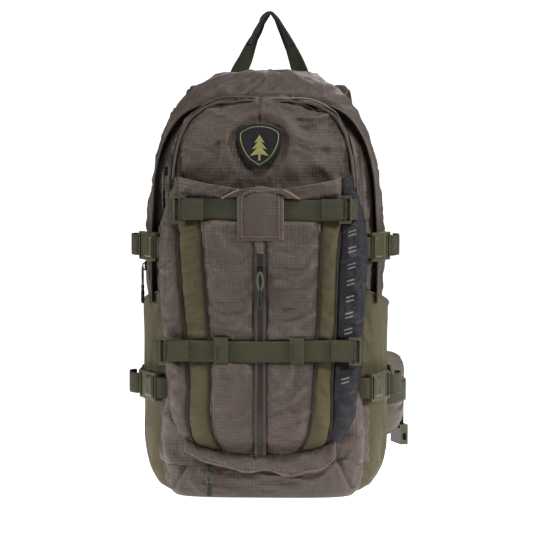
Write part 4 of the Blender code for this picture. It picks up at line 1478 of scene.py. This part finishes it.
def make_back():
    """The padded back with its air channels."""
    low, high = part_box("back_panel")
    columns, rows = 90, 130
    z = np.linspace(low.z, high.z, rows)[:, None]
    half = 0.108 - 0.02 * ease(0.4, 0.455, z) - 0.006 * ease(0.07, 0.05, z)
    x = np.linspace(-1, 1, columns)[None, :] * half
    share = np.abs(x) / half
    height = np.abs((z - (low.z + high.z) / 2) / ((high.z - low.z) / 2))
    rim = np.clip(1 - share**9, 0, 1) ** 0.5 * np.clip(1 - height**22, 0, 1) ** 0.5
    channel = np.exp(-(x / 0.0075) ** 2)
    for level in (0.135, 0.225, 0.315, 0.4):
        channel = np.maximum(channel, np.exp(-((z - level - 0.1 * np.abs(x)) / 0.0055) ** 2))
    y = BACK - 0.001 + (high.y - BACK) * rim * (1 - 0.55 * channel)
    points = np.stack(np.broadcast_arrays(x, y, z), -1)[:, ::-1]
    mesh = grid_mesh("back_pad", points, "mesh")
    piece = add_piece("back_pad", mesh, "bag", ("back_panel",))
    thicken(piece, 0.0015)


def make_harness():
    """Shoulder pads, their webbing, and the strap across the chest."""
    for name, side in SIDES:
        path = [(side * x, y, z) for x, y, z in PAD_PATH]
        mesh, edges, _ = pad_mesh(
            "pad_" + name, path, (1, 0, 0), PAD_WIDTHS, 0.0125, "mesh", 110, 28, 1, 101 + side
        )
        piece = add_piece("pad_" + name, mesh, "harness", ("shoulder_pad_" + name,))
        for k, edge in enumerate(edges):
            add_tube(f"pad_binding_{name}_{k}", "harness", edge[::5], 0.0019, "lining", 110)
        rail = [(side * x, y + 0.0072, z) for x, y, z in PAD_PATH[4:]]
        rail += [(side * 0.078, 0.099, 0.159)]
        add_strap("pad_rail_" + name, "harness", rail, (1, 0, 0), 0.02, 0.0014, 80)
        low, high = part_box("shoulder_webbing_" + name)
        x = (low.x + high.x) / 2
        tail = [
            (x, 0.0735, low.z), (x, 0.083, 0.031), (x, 0.0892, 0.045), (x, 0.0945, 0.085),
            (x, 0.0975, 0.13), (x, 0.0985, 0.148)
        ]
        piece = add_strap(
            "lower_webbing_" + name, None, tail, (1, 0, 0), WEBBING_WIDTH, 0.0017, 60, 0.0004, 9,
            nodes=("shoulder_webbing_" + name,)
        )
        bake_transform(piece)
        end = [(x, 0.102, 0.15), (x, 0.105, 0.138), (x, 0.1065, 0.11), (x, 0.106, 0.086)]
        add_strap("webbing_tail_" + name, "harness", end, (1, 0, 0), WEBBING_WIDTH, 0.0016, 40, 0.0004, 12)
    low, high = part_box("sternum_strap_right")
    y, z = (low.y + high.y) / 2, (low.z + high.z) / 2
    add_strap(
        "sternum_right", "sternum",
        [
            (low.x - 0.003, y, z), (low.x + 0.02, y + 0.001, z), (high.x - 0.02, y + 0.0004, z),
            (high.x, y - 0.001, z)
        ],
        (0, 0, 1), 0.0195, 0.0015, 40, 0.0005, 3, nodes=("sternum_strap_right",)
    )
    low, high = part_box("sternum_strap_left")
    piece = add_strap(
        "sternum_left", None,
        [
            (low.x, y - 0.001, z), (low.x + 0.02, y + 0.0004, z), (high.x - 0.02, y + 0.001, z),
            (high.x + 0.003, y, z)
        ],
        (0, 0, 1), 0.0195, 0.0015, 40, 0.0005, 4, nodes=("sternum_strap_left",)
    )
    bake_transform(piece)


def wing_path(side):
    """The middle line of a hip wing, from its root to its tip."""
    table = [(0.104, 0.0935), (0.13, 0.1), (0.152, 0.113), (0.163, 0.135), (0.163, 0.162), (0.153, 0.186)]
    joint = next(
        j for j in frame["joints"] if j["name"] == ("wing_right_fold" if side > 0 else "wing_left_fold")
    )
    root = Vector(joint["pos_m"])
    fold = 0.0 if side > 0 else -math.radians(25)
    turn = Matrix.Translation(root) @ Matrix.Rotation(fold, 4, "Z") @ Matrix.Translation(-root)
    return [tuple(turn @ Vector((side * x, y, root.z))) for x, y in table]


def make_hip_belt():
    """Two padded wings, each with webbing along it and a drop of webbing to its buckle."""
    for name, side in SIDES:
        body = "wing_" + name
        path = wing_path(side)
        widths = (0.082, 0.104, 0.1, 0.084, 0.072, 0.052)
        mesh, edges, face = pad_mesh(
            "wing_pad_" + name, path, (0, 0, 1), widths, 0.013, "ripstop", 80, 34, 1, 111 + side
        )
        piece = add_piece("wing_pad_" + name, mesh, body, ("hip_wing_" + name,))
        for k, edge in enumerate(edges):
            add_tube(f"wing_binding_{name}_{k}", body, edge[::5], 0.002, "lining", 90)
        out = face * np.sign((face[40] @ np.array([side, 0.2, 0])))
        centre = path_points(path, 80)
        strap = (centre + out * 0.0078)[6:70]
        add_strap("wing_strap_" + name, body, strap[::6], (0, 0, 1), 0.025, 0.0016, 70)
        low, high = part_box("hip_webbing_" + name)
        middle = (low + high) / 2
        tip, before = Vector(path[-1]), Vector(path[-2])
        run = (tip - before).normalized()
        top = Vector((middle.x, middle.y, high.z))
        foot = Vector((middle.x, middle.y, low.z - 0.004))
        add_strap(
            "hip_drop_" + name, body, [top.lerp(foot, share) for share in (0.0, 0.4, 0.7, 1.0)], run,
            WEBBING_WIDTH, 0.0017, 40, 0.0006, 6, nodes=("hip_webbing_" + name,)
        )


# ---------------------------------------------------------------- studio

def make_studio():
    """A pale floor, soft light, and the camera."""
    scene = bpy.context.scene
    scene.view_settings.view_transform = "Standard"
    scene.view_settings.look = "Medium High Contrast"
    camera = bpy.data.cameras.new("camera")
    camera.lens = 150
    camera.sensor_width = 36
    shot = bpy.data.objects.new("camera", camera)
    scene.collection.objects.link(shot)
    azimuth, elevation, distance = math.radians(2.0), math.radians(4.5), 2.66
    aim = Vector((0.0015, 0.0, 0.2665))
    back = Vector(
        (
            math.sin(azimuth) * math.cos(elevation), -math.cos(azimuth) * math.cos(elevation),
            math.sin(elevation)
        )
    )
    shot.location = aim + back * distance
    shot.rotation_mode = "QUATERNION"
    shot.rotation_quaternion = (-back).to_track_quat("-Z", "Y")
    camera.clip_end = 50
    scene.camera = shot

    def area(name, place, size, power):
        lamp = bpy.data.lights.new(name, "AREA")
        lamp.size = size
        lamp.energy = power
        item = bpy.data.objects.new(name, lamp)
        scene.collection.objects.link(item)
        item.location = place
        item.rotation_mode = "QUATERNION"
        item.rotation_quaternion = (Vector((0, 0, 0.25)) - Vector(place)).to_track_quat("-Z", "Y")

    area("key", (0.4, -0.8, 2.3), 0.6, 35)
    area("left", (-1.7, -0.45, 0.6), 0.4, 19)
    area("right", (1.7, -0.45, 0.8), 0.4, 24)
    area("rim", (0.2, 1.8, 1.6), 1.2, 16)
    world = bpy.data.worlds.new("world")
    scene.world = world
    world.use_nodes = True
    tree = world.node_tree
    shade = tree.nodes["Background"]
    shade.inputs["Color"].default_value = (1, 1, 1, 1)
    n = Nodes(tree)
    seen = tree.nodes.new("ShaderNodeLightPath").outputs["Is Camera Ray"]
    tree.links.new(n.math("ADD", 0.04, n.math("MULTIPLY", seen, 0.98)), shade.inputs["Strength"])

    floor = bpy.data.meshes.new("floor")
    reach = 0.75
    floor.from_pydata(
        [
            (-reach, -reach, -0.0002), (reach, -reach, -0.0002), (reach, reach, -0.0002),
            (-reach, reach, -0.0002)
        ],
        [], [(0, 1, 2, 3)]
    )
    paint, tree, shader = new_material("floor_paint")
    n = Nodes(tree)
    tone = n.noise(n.place(), 3.0, 2.0)
    tree.links.new(n.mix(tone, (0.8, 0.8, 0.8, 1), (0.84, 0.84, 0.84, 1)), shader.inputs["Base Color"])
    shader.inputs["Roughness"].default_value = 0.9
    shader.inputs["Emission Color"].default_value = (1, 1, 1, 1)
    shader.inputs["Emission Strength"].default_value = 0.78
    floor.materials.append(paint)
    item = bpy.data.objects.new("floor", floor)
    scene.collection.objects.link(item)


def main():
    make_studio()
    make_body()
    make_main_zip()
    make_front_pocket()
    make_front_panel()
    make_base()
    for name, side in SIDES:
        make_side_pocket("side_pocket_" + name, side)
    make_front_straps()
    make_flap()
    make_handle()
    for height in ("upper", "lower"):
        for name, side in SIDES:
            low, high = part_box(f"buckle_female_{height}_{name}")
            make_side_strap(f"{height}_{name}", side, (low.z + high.z) / 2)
    dress_cad_nodes()
    make_buckle_faces()
    make_badge()
    for name, out, length in (
        ("centre", (0, -1, 0), 0.044), ("base", (0, -1, 0), 0.03), ("front", (-1, 0, 0), 0.044),
        ("main", (-1, 0, 0), 0.044)
    ):
        make_pull(name, out, length)
    make_back()
    make_harness()
    make_hip_belt()


main()
